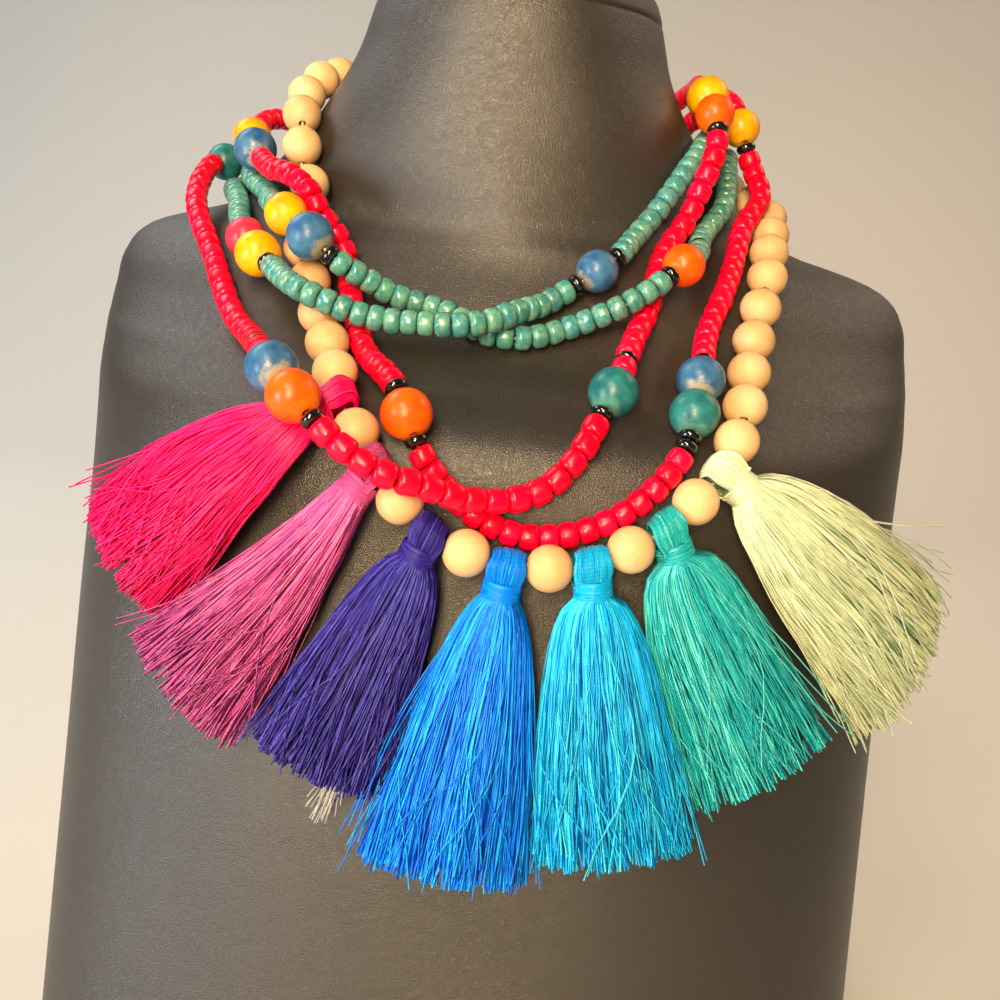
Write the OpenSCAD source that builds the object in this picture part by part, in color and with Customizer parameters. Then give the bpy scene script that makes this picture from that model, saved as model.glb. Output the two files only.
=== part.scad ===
// A many-stranded tassel necklace on a covered neck bust.
// Millimetres, +Z up, the chest faces -Y, the base stands on Z = 0.

/* [Neck bust] */
// Height of the bust, from its base to the top of the neck
bust_h = 430; // [400:5:460]
// Height of the widest part of the shoulders
shoulder_h = 290; // [280:2:300]
// Width across the shoulders
chest_w = 326; // [306:2:346]
// Greatest depth of the chest in front of its widest line
chest_front = 118; // [108:1:128]
// Depth of the back behind the widest line of the base
chest_back = 86; // [76:1:96]
// How far the widest line leans forward from the neck down to the base
chest_lean = 86; // [76:1:96]
// Width and depth of the neck at its narrowest
neck_d = 114; // [104:1:124]
// How far the neck stands to one side of the chest's middle
neck_aside = 8; // [0:1:12]
// Radius of the rolled rim at the top of the neck
rim_r = 4; // [2:0.5:8]

/* [Wood string] */
// Diameter of a wood bead
wood_d = 14.8; // [13:0.2:15.4]
// Diameter of the thread of the wood string
wood_thread_d = 1.4; // [0.8:0.1:2]

/* [Pony strings] */
// Outer diameter of a pony bead
pony_d = 8.6; // [7:0.2:9]
// Length of a pony bead along its thread
pony_l = 6.2; // [5.6:0.1:6.6]
// Rounding of a pony bead's ends
pony_edge = 2; // [1.6:0.1:2.4]
// Diameter of the thread of a pony string
pony_thread_d = 1.2; // [0.8:0.1:1.8]

/* [Painted beads] */
// Diameter of a large painted bead
large_d = 16.5; // [14:0.1:17]
// Diameter of a small painted bead
small_d = 15; // [13:0.1:16]

/* [Spacers] */
// Diameter of a black spacer
spacer_d = 6.8; // [5:0.2:9]
// Length of a black spacer along its thread
spacer_l = 3; // [2:0.2:4]
// Extra room for a spacer on its thread, so that it stays clear in the bends
spacer_room = 0.5; // [0.2:0.1:0.8]

/* [Tassels] */
// Length of a tassel from the middle of its head to its hem
tassel_l = 93; // [80:1:106]
// Diameter of a tassel's head
head_d = 12; // [10:0.2:13]
// Length of a tassel's head along the string
head_l = 10.4; // [9:0.2:11]
// Height of the band wound under the head
band_h = 6; // [4:0.5:9]
// Width of the band
band_w = 11.8; // [11:0.2:12.6]
// Width of a tassel at its hem
hem_w = 50; // [36:1:54]
// Thickness of a tassel at its hem
hem_t = 26; // [16:1:30]
// Depth of the grooves between the locks at the hem
lock_depth = 2.4; // [1:0.1:4]

/* [Clasp] */
// Width of the clasp along the strings
clasp_w = 10; // [8:0.5:14]
// Thickness of the clasp
clasp_t = 9; // [8:0.5:10]

/* [Clearances] */
// Clearance of a bead's bore around its thread
bore_gap = 0.6; // [0.3:0.05:0.8]
// Gap between neighbours on a string
bead_gap = 0.4; // [0.3:0.05:0.5]
// Gap between the clasp and the first beads
clasp_gap = 0.8; // [0.6:0.05:0.9]
// Gap between a string that lies on the bust and the bust
skin_gap = 0.4; // [0.3:0.05:0.6]

/* [Hidden] */

// Fineness of round pieces
$fn = 48;
// How far the neck's axis stands behind the origin
neck_y = 52.8;
// Points round a section of the bust
bust_sides = 40;
// Sides of a string that is one tube, and of a thread
tube_sides = 8;
thread_sides = 5;
// Fine beads between the rings of a tube
ring_beads = 2;
// Gap between the end of a tube's full width and the bead next to it
tube_gap = 0.6;
// Steps of the curve between two points of a route
curve_steps = 5;
// Length of the thread's end hidden in the clasp, off its middle
thread_end = 0.5;
// How far the corners of the bust's sections are softened
soft = 0.1;
// Share by which plain beads are spread, so that they stay apart in the bends
slack = 1.05;

// Sections of the bust. Columns: level (0 base, 1 shoulder, 2 top of the neck), width between
// neck and shoulders, forward lean, front depth, back depth, roundness, sideways shift
LEVEL = 0;
WIDTH = 1;
LEAN = 2;
FRONT = 3;
BACK = 4;
ROUND = 5;
ASIDE = 6;
bust_sections = [
    [0.00, 0.99, 1.00, 0.54, 1.00, 2.40, 0],
    [0.41, 0.98, 0.65, 0.67, 0.93, 2.40, 0],
    [0.69, 0.97, 0.41, 0.82, 0.79, 2.40, 0],
    [0.83, 0.97, 0.28, 0.92, 0.66, 2.30, 0],
    [0.90, 0.98, 0.21, 1.00, 0.52, 2.20, 0],
    [0.945, 0.99, 0.17, 0.97, 0.45, 2.15, 0],
    [1.00, 1.00, 0.13, 0.66, 0.34, 2.10, 0],
    [1.09, 1.00, 0.08, 0.41, 0.24, 2.00, 0],
    [1.19, 0.98, 0.05, 0.26, 0.17, 1.80, 0],
    [1.24, 0.94, 0.03, 0.20, 0.14, 1.65, 0],
    [1.28, 0.86, 0.02, 0.16, 0.10, 1.50, 0],
    [1.31, 0.74, 0.01, 0.15, 0.10, 1.40, 0],
    [1.34, 0.59, 0.00, 0.13, 0.10, 1.38, 0.25],
    [1.37, 0.49, 0.00, 0.11, 0.10, 1.42, 0.5],
    [1.43, 0.41, 0.00, 0.10, 0.10, 1.50, 0.75],
    [1.50, 0.31, 0.00, 0.08, 0.10, 1.70, 1],
    [1.57, 0.23, 0.00, 0.07, 0.10, 1.85, 1],
    [1.66, 0.145, 0.00, 0.05, 0.10, 2.00, 1],
    [1.79, 0.05, 0.00, 0.03, 0.07, 2.00, 1],
    [1.91, 0.00, 0.00, 0.00, 0.00, 2.00, 1],
    [2.00, -0.04, 0.00, -0.07, -0.14, 2.00, 1]
];

// Routes of the strings from the clasp round the left side, the front and the right side.
// Columns: angle from the front, height over the shoulder line, lift off the bust
wood_route = [
    [-170, 96, 0.5], [-150, 97, 0.5], [-111, 100, 0.5], [-95, 98, 0.5], [-79.5, 86, 0.5],
    [-68, 77, 0.5], [-63.5, 62, 1], [-59.5, 47, 1], [-53, 33, 0.5], [-47, 22.5, 0],
    [-40.5, 12, 0], [-34.5, 2.5, 0.5], [-28, -6, 1.5], [-22, -16, 2.5], [-16, -26.5, 3.5],
    [-12.5, -34, 4], [-8.5, -40, 5], [-3.5, -45.5, 5.5], [4, -49.5, 6], [12, -48, 6],
    [19, -43, 5.5], [24, -36, 4], [28, -30, 2], [35, -15.5, 0.5], [43, 0, 0], [53.5, 21, 0],
    [63.5, 38, 0.5], [74, 47.5, 0.5], [84, 56, 0.5], [92, 63.5, 0.5], [105, 71, 0.5],
    [118, 82.5, 0.5], [132, 92, 0.5], [150, 96, 0.5], [170, 96, 0.5]
];
red_1_route = [
    [-165, 83, 2.5], [-150, 80.5, 6], [-138, 75, 9.5], [-118, 62.5, 13.5], [-101, 52, 13.5],
    [-89, 48, 12], [-79, 41, 5.5], [-65.5, 26.5, 0.5], [-52, 6, 1], [-45, 0, 4],
    [-34.5, -11.5, 16], [-27, -17.5, 23.5], [-20, -22.5, 22], [-14, -27.5, 19.5],
    [-9, -29.5, 15], [-4, -31, 9.5], [2, -31, 4.5], [7.5, -27.5, 0.5], [11.5, -20, 0.5],
    [16, -10.5, 2.5], [20.5, -2.5, 5.5], [26.5, 9, 3.5], [33.5, 23, 0.5], [40.5, 37.5, 0],
    [46.5, 45, 0.5], [53, 50, 2.5], [61, 67.5, 6.5], [65, 81, 10.5], [69, 91, 9.5],
    [76.5, 98.5, 7.5], [85, 103, 6], [94, 106, 7], [103, 106.5, 11.5], [112, 104.5, 15.5],
    [121, 101, 17], [131, 96.5, 17], [141, 91, 15], [152, 86, 8], [165, 83, 2.5]
];
red_2_route = [
    [-165, 73, 2.5], [-140, 73, 0], [-128, 73.5, 1], [-112, 74.5, 8], [-102, 74, 13.5],
    [-95, 71.5, 13.5], [-90, 68, 10.5], [-83, 65, 9], [-73.5, 62, 9.5], [-65.5, 60, 16],
    [-59, 60.5, 19.5], [-52, 38, 17.5], [-49, 35, 13.5], [-46, 34, 7], [-42, 29, 1.5],
    [-37.5, 19, 0], [-31.5, 8, 0], [-24.5, -0.5, 2], [-19, -6.5, 4.5], [-13.5, -14.5, 5.5],
    [-10, -22.5, 4], [-6, -30.5, 1], [-1, -37, 0], [5, -41, 0], [11, -40, 0], [17, -35.5, 0],
    [22.5, -27, 1.5], [27, -17.5, 3], [31.5, -7.5, 5], [36.5, 1.5, 4.5], [44.5, 18, 0.5],
    [52, 31, 0], [61, 42.5, 0], [70.5, 51, 4.5], [80, 62.5, 8.5], [83.5, 71.5, 10],
    [84, 79.5, 12], [85.5, 86.5, 14], [90, 92.5, 16], [97, 97, 17], [107, 96, 17], [118, 92, 17],
    [129, 86.5, 15.5], [138, 81, 9.5], [147, 76, 2.5], [165, 73, 2.5]
];
turquoise_1_route = [
    [-165, 63, 2.5], [-146, 61.5, 7], [-131, 57, 10], [-117, 51.5, 8], [-104, 49.5, 2.5],
    [-92, 50, 0.5], [-84, 48.5, 0.5], [-77, 45, 0.5], [-70, 39.5, 0.5], [-62, 31, 3.5],
    [-56, 24.5, 7], [-49.5, 18, 12.5], [-44.5, 11, 16], [-39.5, 6, 18], [-35, 4, 16.5],
    [-30.5, 4, 13], [-26, 4.5, 10.5], [-17, 5, 10], [-9, 6, 10], [-3, 9.5, 9.5], [2, 15, 7.5],
    [8, 21.5, 2], [16, 27.5, 3], [24, 33.5, 5], [30.5, 40.5, 3], [38.5, 47.5, 0],
    [47.5, 57.5, 0], [56, 68.5, 0], [67, 81, 0], [80.5, 87.5, 0.5], [92, 88.5, 5],
    [100, 88, 11], [108, 86, 16], [117, 82, 17], [126, 77.5, 14], [134, 73, 7], [143, 68, 1],
    [165, 63, 2.5]
];
turquoise_2_route = [
    [-165, 53, 4], [-148, 54, 0.5], [-131, 57.5, 0.5], [-115, 60, 0.5], [-100, 60, 0.5],
    [-89, 59, 0.5], [-82, 55.5, 0.5], [-74.5, 50, 1], [-66.5, 42.5, 5.5], [-59, 36, 14.5],
    [-53, 31.5, 18], [-47, 26, 20.5], [-42.5, 23.5, 19], [-38.5, 21, 15], [-34, 20.5, 9],
    [-29, 19.5, 3], [-22.5, 19, 0], [-14, 16.5, 0], [-6, 11.5, 0], [0.5, 10.5, 0],
    [7.5, 12, 0], [14.5, 15.5, 0.5], [21, 18, 4], [27.5, 21, 8.5], [35, 26, 11.5],
    [42, 32.5, 11.5], [48, 38, 7.5], [54.5, 45, 2], [62, 51.5, 0.5], [70.5, 61.5, 0.5],
    [80.5, 71.5, 0], [89, 77, 2.5], [97, 78, 8.5], [104, 77, 14.5], [111, 75, 17],
    [118, 72, 15.5], [125, 68, 8], [132, 64.5, 1.5], [148, 56, 0], [165, 53, 2.5]
];

// Heights over the shoulder line at which the strings enter the clasp
WOOD = 0;
RED_1 = 1;
RED_2 = 2;
TURQUOISE_1 = 3;
TURQUOISE_2 = 4;
clasp_heights = [96, 83, 73, 63, 53];

// Beads other than the plain ones, in groups. Columns: share of the string's length at the
// middle of the group, kinds in stringing order
wood_groups = [
    [0.497, ["tassel", "wood", "tassel", "wood", "tassel", "wood", "tassel",
             "wood", "tassel", "wood", "tassel", "wood", "tassel"]]
];
red_1_groups = [
    [0.19, ["small"]], [0.411, ["black", "pony", "pony", "large", "large", "black"]],
    [0.606, ["black", "large", "pony", "black"]], [0.793, ["black", "small", "large"]]
];
red_2_groups = [
    [0.2, ["small", "large"]], [0.427, ["black", "large", "black"]],
    [0.608, ["black", "black", "large", "large", "black"]], [0.802, ["black", "small"]]
];
turquoise_1_groups = [
    [0.345, ["small", "large", "black"]], [0.598, ["black", "small", "black"]]
];
turquoise_2_groups = [
    [0.366, ["small", "large", "black"]], [0.631, ["black", "small", "pony", "pony", "black"]]
];

// Tassels from left to right. Columns: angle of the hem, its height over the shoulder line, gap of
// its middle off the bust, share of the length, of the hem's width and of its thickness, power by
// which the skirt widens (a small one is full), rise of the middle line between head and hem
tassels = [
    [-51.4, -69.5, 14, 1.01, 0.97, 0.9, 0.5, 3],
    [-40.9, -102.5, 15.5, 1.03, 1.02, 1.0, 1, -1],
    [-22.2, -119, 15, 0.89, 0.88, 1.0, 0.5, 0],
    [-2, -150, 16, 1.05, 1.10, 1.1, 0.6, 0],
    [23.5, -140, 16, 0.99, 1.05, 1.1, 0.45, 0],
    [43.4, -114, 15, 0.93, 1.05, 1.0, 0.4, 0],
    [63.3, -84, 15, 1.13, 1.31, 0.9, 0.55, 4]
];
// Thickness of a skirt. Columns: share of its length, share of the way from the band's thickness
// to the hem's
skirt_rows = [
    [0.04, 0.00], [0.12, 0.00], [0.22, 0.05], [0.40, 0.25], [0.60, 0.55], [0.80, 0.82], [1.00, 1.00]
];
// Locks round a tassel, points round each lock
locks = 10;
lock_points = 3;

// Radii of the strings and of their bores
wood_r = wood_d / 2;
pony_r = pony_d / 2;
wood_bore_d = wood_thread_d + 2 * bore_gap;
pony_bore_d = pony_thread_d + 2 * bore_gap;

// Smooth curves
function slope(a, b, c, before, after) =
    ((b - a) / before * after + (c - b) / after * before) / (before + after);
function hermite(a, b, slope_a, slope_b, length, t) =
    (2 * t * t * t - 3 * t * t + 1) * a + (t * t * t - 2 * t * t + t) * length * slope_a
    + (3 * t * t - 2 * t * t * t) * b + (t * t * t - t * t) * length * slope_b;

// A row of the bust's sections at any level
function row_slope(rows, i) =
    i == 0 ? (rows[1] - rows[0]) / (rows[1][LEVEL] - rows[0][LEVEL])
    : i == len(rows) - 1 ? (rows[i] - rows[i - 1]) / (rows[i][LEVEL] - rows[i - 1][LEVEL])
    : slope(rows[i - 1], rows[i], rows[i + 1],
            rows[i][LEVEL] - rows[i - 1][LEVEL], rows[i + 1][LEVEL] - rows[i][LEVEL]);
function row_at(rows, level, i = 0) =
    i < len(rows) - 2 && level > rows[i + 1][LEVEL] ? row_at(rows, level, i + 1)
    : let (span = rows[i + 1][LEVEL] - rows[i][LEVEL], t = (level - rows[i][LEVEL]) / span)
      hermite(rows[i], rows[i + 1], row_slope(rows, i), row_slope(rows, i + 1), span, t);

// The bust's skin at an angle from the front and a height, pulled in by an inset
function level_of(z) =
    z < shoulder_h ? z / shoulder_h : 1 + (z - shoulder_h) / (bust_h - shoulder_h);
function height_of(level) =
    level < 1 ? level * shoulder_h : shoulder_h + (level - 1) * (bust_h - shoulder_h);
// A power of a sine or cosine without the crease that a small exponent leaves at zero
function soft_power(x, n) =
    (pow(x * x + soft * soft, n / 2) - pow(soft, n)) / (pow(1 + soft * soft, n / 2) - pow(soft, n));
function skin_r(row, a) = let (
        half = neck_d / 2,
        w = half + row[WIDTH] * (chest_w / 2 - half),
        d = half + (cos(a) >= 0 ? row[FRONT] * (chest_front - half) : row[BACK] * (chest_back - half)),
        n = row[ROUND]
    ) pow(soft_power(sin(a), n) / pow(w, n) + soft_power(cos(a), n) / pow(d, n), -1 / n);
function section_at(z) = row_at(bust_sections, level_of(z));
function section_middle(row) = [-row[ASIDE] * neck_aside, neck_y - row[LEAN] * chest_lean, 0];
// A point over the skin, pushed out level from the section's middle
function skin_at(a, z, push = 0) = let (row = section_at(z), r = skin_r(row, a) + push)
    section_middle(row) + [r * sin(a), -r * cos(a), z];
// Angle, height and push of a point in space
function place_of(p) = let (
        row = section_at(p[2]),
        d = p - section_middle(row),
        a = atan2(d[0], -d[1])
    ) [a, p[2], norm([d[0], d[1]]) - skin_r(row, a)];
function skin_out(a, z) = let (
        n = cross(skin_at(a + 0.5, z) - skin_at(a - 0.5, z), skin_at(a, z + 0.5) - skin_at(a, z - 0.5))
    ) n / norm(n);
function off_skin(a, z, gap) = skin_at(a, z) + gap * skin_out(a, z);

// The clasp's middle line
clasp_x = -neck_aside;
clasp_low = shoulder_h + clasp_heights[TURQUOISE_2];
clasp_high = shoulder_h + clasp_heights[WOOD];
clasp_y = max([for (h = clasp_heights) skin_at(180, shoulder_h + h)[1]]) + skin_gap + wood_r;

// A string's curve as a table of lengths and points, from the clasp round to the clasp
function route_points(route, r, string) =
    let (ends = [clasp_x, clasp_y, shoulder_h + clasp_heights[string]])
    [ends, for (p = route) off_skin(p[0], shoulder_h + p[1], r + skin_gap + p[2]), ends];
function point_slope(points, i) =
    i == 0 || i == len(points) - 1 ? [-1, 0, 0]
    : slope(points[i - 1], points[i], points[i + 1],
            norm(points[i] - points[i - 1]), norm(points[i + 1] - points[i]));
function curve_points(points) = [
    for (i = [0:len(points) - 2], k = [0:curve_steps - 1])
        hermite(points[i], points[i + 1], point_slope(points, i), point_slope(points, i + 1),
                norm(points[i + 1] - points[i]), k / curve_steps),
    points[len(points) - 1]
];
function track(curve) = [
    for (i = 0, s = 0; i < len(curve);
         i = i + 1, s = i < len(curve) ? s + norm(curve[i] - curve[i - 1]) : s)
        [s, curve[i]]
];
function axis_table(run, axis) = [for (step = run) [step[0], step[1][axis]]];
function run_tables(route, r, string) =
    let (run = track(curve_points(route_points(route, r, string))))
    [for (axis = [0:2]) axis_table(run, axis)];
function run_length(run) = run[0][len(run[0]) - 1][0];
function run_point(run, s) = [lookup(s, run[0]), lookup(s, run[1]), lookup(s, run[2])];

// Sizes of the kinds of beads on the strings
function kind_l(kind) =
    kind == "wood" ? wood_d : kind == "tassel" ? head_l : kind == "large" ? large_d
    : kind == "small" ? small_d : kind == "black" ? spacer_l + spacer_room : pony_l;
function group_l(kinds, i = 0) =
    i == len(kinds) ? 0 : kind_l(kinds[i]) + bead_gap + group_l(kinds, i + 1);

// The place on a string that lies a straight distance past another place
function place_past(run, from, distance, guess, tries = 6) =
    tries == 0 ? guess
    : place_past(run, from, distance,
                 from + (guess - from) * distance / norm(run_point(run, guess) - run_point(run, from)),
                 tries - 1);
// Beads of a group from a place on, as rows of kind, start and end
function group_items(run, kinds, start, i = 0) =
    i == len(kinds) ? []
    : let (l = kind_l(kinds[i]) + bead_gap, end = place_past(run, start, l, start + l))
      concat([[kinds[i], start, end]], group_items(run, kinds, end, i + 1));
// Plain beads that fill a stretch, spread evenly with a little slack for the bends
function fill_items(kind, start, end) = let (
        count = floor((end - start) / (kind_l(kind) + bead_gap) / slack),
        step = (end - start) / max(count, 1)
    ) [for (i = [0:1:count - 1]) [kind, start + i * step, start + (i + 1) * step]];
// Stretches of a string: the groups and the fills between them, in order
function string_items(run, groups, kind) = let (
        length = run_length(run),
        edge = clasp_w / 2 + clasp_gap,
        placed = [for (g = groups) group_items(run, g[1], g[0] * length - group_l(g[1]) / 2)],
        last = len(groups)
    ) [
        for (i = [0:last]) let (
                start = i == 0 ? edge : placed[i - 1][len(placed[i - 1]) - 1][2],
                end = i == last ? length - edge : placed[i][0][1]
            ) each concat(fill_items(kind, start, end), i == last ? [] : placed[i])
    ];

// The five strings
wood_run = run_tables(wood_route, wood_r, WOOD);
red_1_run = run_tables(red_1_route, pony_r, RED_1);
red_2_run = run_tables(red_2_route, pony_r, RED_2);
turquoise_1_run = run_tables(turquoise_1_route, pony_r, TURQUOISE_1);
turquoise_2_run = run_tables(turquoise_2_route, pony_r, TURQUOISE_2);
wood_items = string_items(wood_run, wood_groups, "wood");
red_1_items = string_items(red_1_run, red_1_groups, "pony");
red_2_items = string_items(red_2_run, red_2_groups, "pony");
turquoise_1_items = string_items(turquoise_1_run, turquoise_1_groups, "pony");
turquoise_2_items = string_items(turquoise_2_run, turquoise_2_groups, "pony");

// Beads of a kind on a string, in order
function only(items, kind) = [for (item = items) if (item[0] == kind) item];
function painted(items) = [for (item = items) if (item[0] == "large" || item[0] == "small") item];

// Puts a bead on its place, with its bore along the string
module on_string(run, item) {
    a = run_point(run, item[1]);
    b = run_point(run, item[2]);
    along = b - a;
    turn = atan2(along[1], along[0]);
    tilt = acos(along[2] / norm(along));
    translate((a + b) / 2) rotate([0, tilt, turn]) children();
}

// A short bead with rounded ends
module barrel(d, l, edge, bore) {
    rotate_extrude()
        polygon([
            [bore / 2, -l / 2],
            for (a = [-90:30:0]) [d / 2 - edge + edge * cos(a), -l / 2 + edge + edge * sin(a)],
            for (a = [0:30:90]) [d / 2 - edge + edge * cos(a), l / 2 - edge + edge * sin(a)],
            [bore / 2, l / 2]
        ]);
}

module round_bead(d, bore) {
    difference() {
        sphere(d = d);
        cylinder(d = bore, h = d + 2, center = true);
    }
}

module painted_bead(run, items, index) {
    item = painted(items)[index];
    on_string(run, item) round_bead(kind_l(item[0]), pony_bore_d);
}

// A solid swept along rings of points
module swept(rings) {
    sides = len(rings[0]);
    last = len(rings) - 1;
    polyhedron(
        points = [for (ring = rings) each ring],
        faces = concat(
            [[for (k = [0:sides - 1]) k]],
            [
                for (i = [0:last - 1], k = [0:sides - 1])
                    each [
                        [i * sides + k, (i + 1) * sides + k, (i + 1) * sides + (k + 1) % sides],
                        [i * sides + k, (i + 1) * sides + (k + 1) % sides, i * sides + (k + 1) % sides]
                    ]
            ],
            [[for (k = [sides - 1:-1:0]) last * sides + k]]
        )
    );
}

// A ring round a string at a place, turned so that one corner points away from the neck
function run_along(run, s) =
    let (d = run_point(run, s + 0.6) - run_point(run, s - 0.6)) d / norm(d);
function ring_at(centre, along, r, sides) = let (
        out = [centre[0] - clasp_x, centre[1] - neck_y, 0],
        flat = out - (out * along) * along,
        u = flat / norm(flat),
        v = cross(along, u)
    ) [for (k = [0:sides - 1]) centre + r * (cos(360 * k / sides) * u + sin(360 * k / sides) * v)];

// A thread that runs straight from bead to bead
module thread(run, items, d) {
    stops = concat([thread_end], [for (item = items) item[1]], [items[len(items) - 1][2]],
                   [run_length(run) - thread_end]);
    swept([for (s = stops) ring_at(run_point(run, s), run_along(run, s), d / 2, thread_sides)]);
}

// A string of fine beads as one tube, drawn in to its thread in the clasp and the larger beads.
// Each stop is a place on the string and the radius there
function is_fine(items, i) = i >= 0 && i < len(items) && items[i][0] == "pony";
function fine_stops(items, i) = let (a = items[i][1] + tube_gap, b = items[i][2] - tube_gap) concat(
    is_fine(items, i - 1) ? (i % ring_beads == 0 ? [[items[i][1], pony_r]] : [])
    : [[a, pony_thread_d / 2], [a, pony_r]],
    is_fine(items, i + 1) ? [] : [[b, pony_r], [b, pony_thread_d / 2]]);
function bare_stops(items, i) = concat(
    [[items[i][1], pony_thread_d / 2]],
    i == len(items) - 1 || is_fine(items, i + 1) ? [[items[i][2], pony_thread_d / 2]] : []);
function tube_stops(run, items) = concat(
    [[thread_end, pony_thread_d / 2]],
    [for (i = [0:len(items) - 1]) each is_fine(items, i) ? fine_stops(items, i) : bare_stops(items, i)],
    [[run_length(run) - thread_end, pony_thread_d / 2]]);

module tube(run, items) {
    swept([
        for (stop = tube_stops(run, items))
            ring_at(run_point(run, stop[0]), run_along(run, stop[0]), stop[1], tube_sides)
    ]);
}

module neck_bust() {
    fine_from = 0.8;
    levels = [
        for (i = [0:len(bust_sections) - 2])
            let (a = bust_sections[i][LEVEL], b = bust_sections[i + 1][LEVEL])
            each b > fine_from ? [a, (a + b) / 2] : [a]
    ];
    rim = [for (a = [0:30:90]) [bust_h - rim_r + rim_r * sin(a), rim_r * (1 - cos(a))]];
    body = [for (level = levels) if (height_of(level) < bust_h - rim_r - 1) [height_of(level), 0]];
    color("dimgray")
        swept([
            for (ring = concat(body, rim))
                [for (k = [0:bust_sides - 1])
                    skin_at(360 * k / bust_sides, ring[0], -ring[1])]
        ]);
}

module necklace_clasp() {
    color("silver")
        difference() {
            translate([clasp_x, clasp_y, 0]) {
                translate([-clasp_w / 2, -clasp_t / 2, clasp_low])
                    cube([clasp_w, clasp_t, clasp_high - clasp_low]);
                for (z = [clasp_low, clasp_high])
                    translate([0, 0, z])
                        rotate([0, 90, 0])
                            cylinder(d = clasp_t, h = clasp_w, center = true);
            }
            for (i = [0:len(clasp_heights) - 1])
                translate([clasp_x, clasp_y, shoulder_h + clasp_heights[i]])
                    rotate([0, 90, 0])
                        cylinder(d = i == WOOD ? wood_bore_d : pony_bore_d, h = clasp_w + 2, center = true);
        }
}

module wood_bead_string() {
    color("burlywood")
        for (item = only(wood_items, "wood"))
            on_string(wood_run, item) round_bead(wood_d, wood_bore_d);
}

module wood_thread() {
    color("ivory") thread(wood_run, wood_items, wood_thread_d);
}

module red_bead_string_1() {
    color("crimson")
        for (item = only(red_1_items, "pony"))
            on_string(red_1_run, item) barrel(pony_d, pony_l, pony_edge, pony_bore_d);
}

module red_thread_1() {
    color("firebrick") thread(red_1_run, red_1_items, pony_thread_d);
}

module red_string_2() {
    color("crimson") tube(red_2_run, red_2_items);
}

module turquoise_string_1() {
    color("mediumturquoise") tube(turquoise_1_run, turquoise_1_items);
}

module turquoise_string_2() {
    color("mediumturquoise") tube(turquoise_2_run, turquoise_2_items);
}

module spacers_of(run, items) {
    for (item = only(items, "black"))
        on_string(run, item) barrel(spacer_d, spacer_l, spacer_l / 3, pony_bore_d);
}

module black_spacers() {
    color("black") {
        spacers_of(red_1_run, red_1_items);
        spacers_of(red_2_run, red_2_items);
        spacers_of(turquoise_1_run, turquoise_1_items);
        spacers_of(turquoise_2_run, turquoise_2_items);
    }
}

// Rings of a tassel, as distance under the middle of the head, half width, half thickness
// and depth of the grooves between its locks
function tassel_rings(row) = let (
        r = head_d / 2,
        neck = r * 0.86,
        band = neck + band_h,
        skirt = tassel_l * row[3] - band,
        w = hem_w * row[4] / 2,
        t = hem_t * row[5] / 2,
        b = band_w / 2
    ) concat(
        [for (a = [-80:28:60]) [r * sin(a), head_l / 2 * cos(a), r * cos(a), 0]],
        [[neck - 0.4, b * 0.8, b * 0.8, 0], [neck + 0.6, b, b, 0], [band - 0.6, b, b, 0]],
        [for (k = skirt_rows)
            [band + skirt * k[0], b + (w - b) * pow(k[0], row[6]), b + (t - b) * k[1],
             lock_depth * k[0]]]
    );

// A tassel's middle line, from its head over the chest to its hem
function spine_at(from, to, rise, t) =
    let (p = from + (to - from) * t) skin_at(p[0], p[1] + rise * 4 * t * (1 - t), p[2]);
function spine_length(from, to, rise, parts = 12) = let (
        steps = [
            for (i = [1:parts])
                norm(spine_at(from, to, rise, i / parts) - spine_at(from, to, rise, (i - 1) / parts))
        ]
    ) steps * [for (i = [1:parts]) 1];

module tassel(index) {
    row = tassels[index];
    item = only(wood_items, "tassel")[index];
    head = (run_point(wood_run, item[1]) + run_point(wood_run, item[2])) / 2;
    from = place_of(head);
    to = [row[0], shoulder_h + row[1], row[2]];
    rise = row[7];
    length = spine_length(from, to, rise);
    sides = locks * lock_points;
    difference() {
        swept([
            for (ring = tassel_rings(row)) let (
                    t = ring[0] / length,
                    middle = spine_at(from, to, rise, t),
                    ahead = spine_at(from, to, rise, t + 0.02) - spine_at(from, to, rise, t - 0.02),
                    down = ahead / norm(ahead),
                    place = place_of(middle),
                    out = skin_out(place[0], place[1]),
                    flat = out - (out * down) * down,
                    front = flat / norm(flat),
                    side = cross(down, front)
                ) [
                    for (k = [0:sides - 1]) let (
                            a = -360 * k / sides,
                            groove = k % lock_points == 0 ? ring[3] : 0
                        ) middle + (ring[1] - groove) * cos(a) * side + (ring[2] - groove) * sin(a) * front
                ]
        ]);
        on_string(wood_run, item)
            cylinder(d = wood_bore_d, h = 2 * head_d, center = true, $fn = 8);
    }
}

module tassel_pink() {
    color("deeppink") tassel(0);
}

module tassel_mauve() {
    color("mediumorchid") tassel(1);
}

module tassel_navy() {
    color("midnightblue") tassel(2);
}

module tassel_azure() {
    color("dodgerblue") tassel(3);
}

module tassel_blue() {
    color("steelblue") tassel(4);
}

module tassel_teal() {
    color("lightseagreen") tassel(5);
}

module tassel_mint() {
    color("azure") tassel(6);
}

module bead_of(string, index, colour) {
    color(colour) {
        if (string == RED_1) painted_bead(red_1_run, red_1_items, index);
        if (string == RED_2) painted_bead(red_2_run, red_2_items, index);
        if (string == TURQUOISE_1) painted_bead(turquoise_1_run, turquoise_1_items, index);
        if (string == TURQUOISE_2) painted_bead(turquoise_2_run, turquoise_2_items, index);
    }
}

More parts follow.
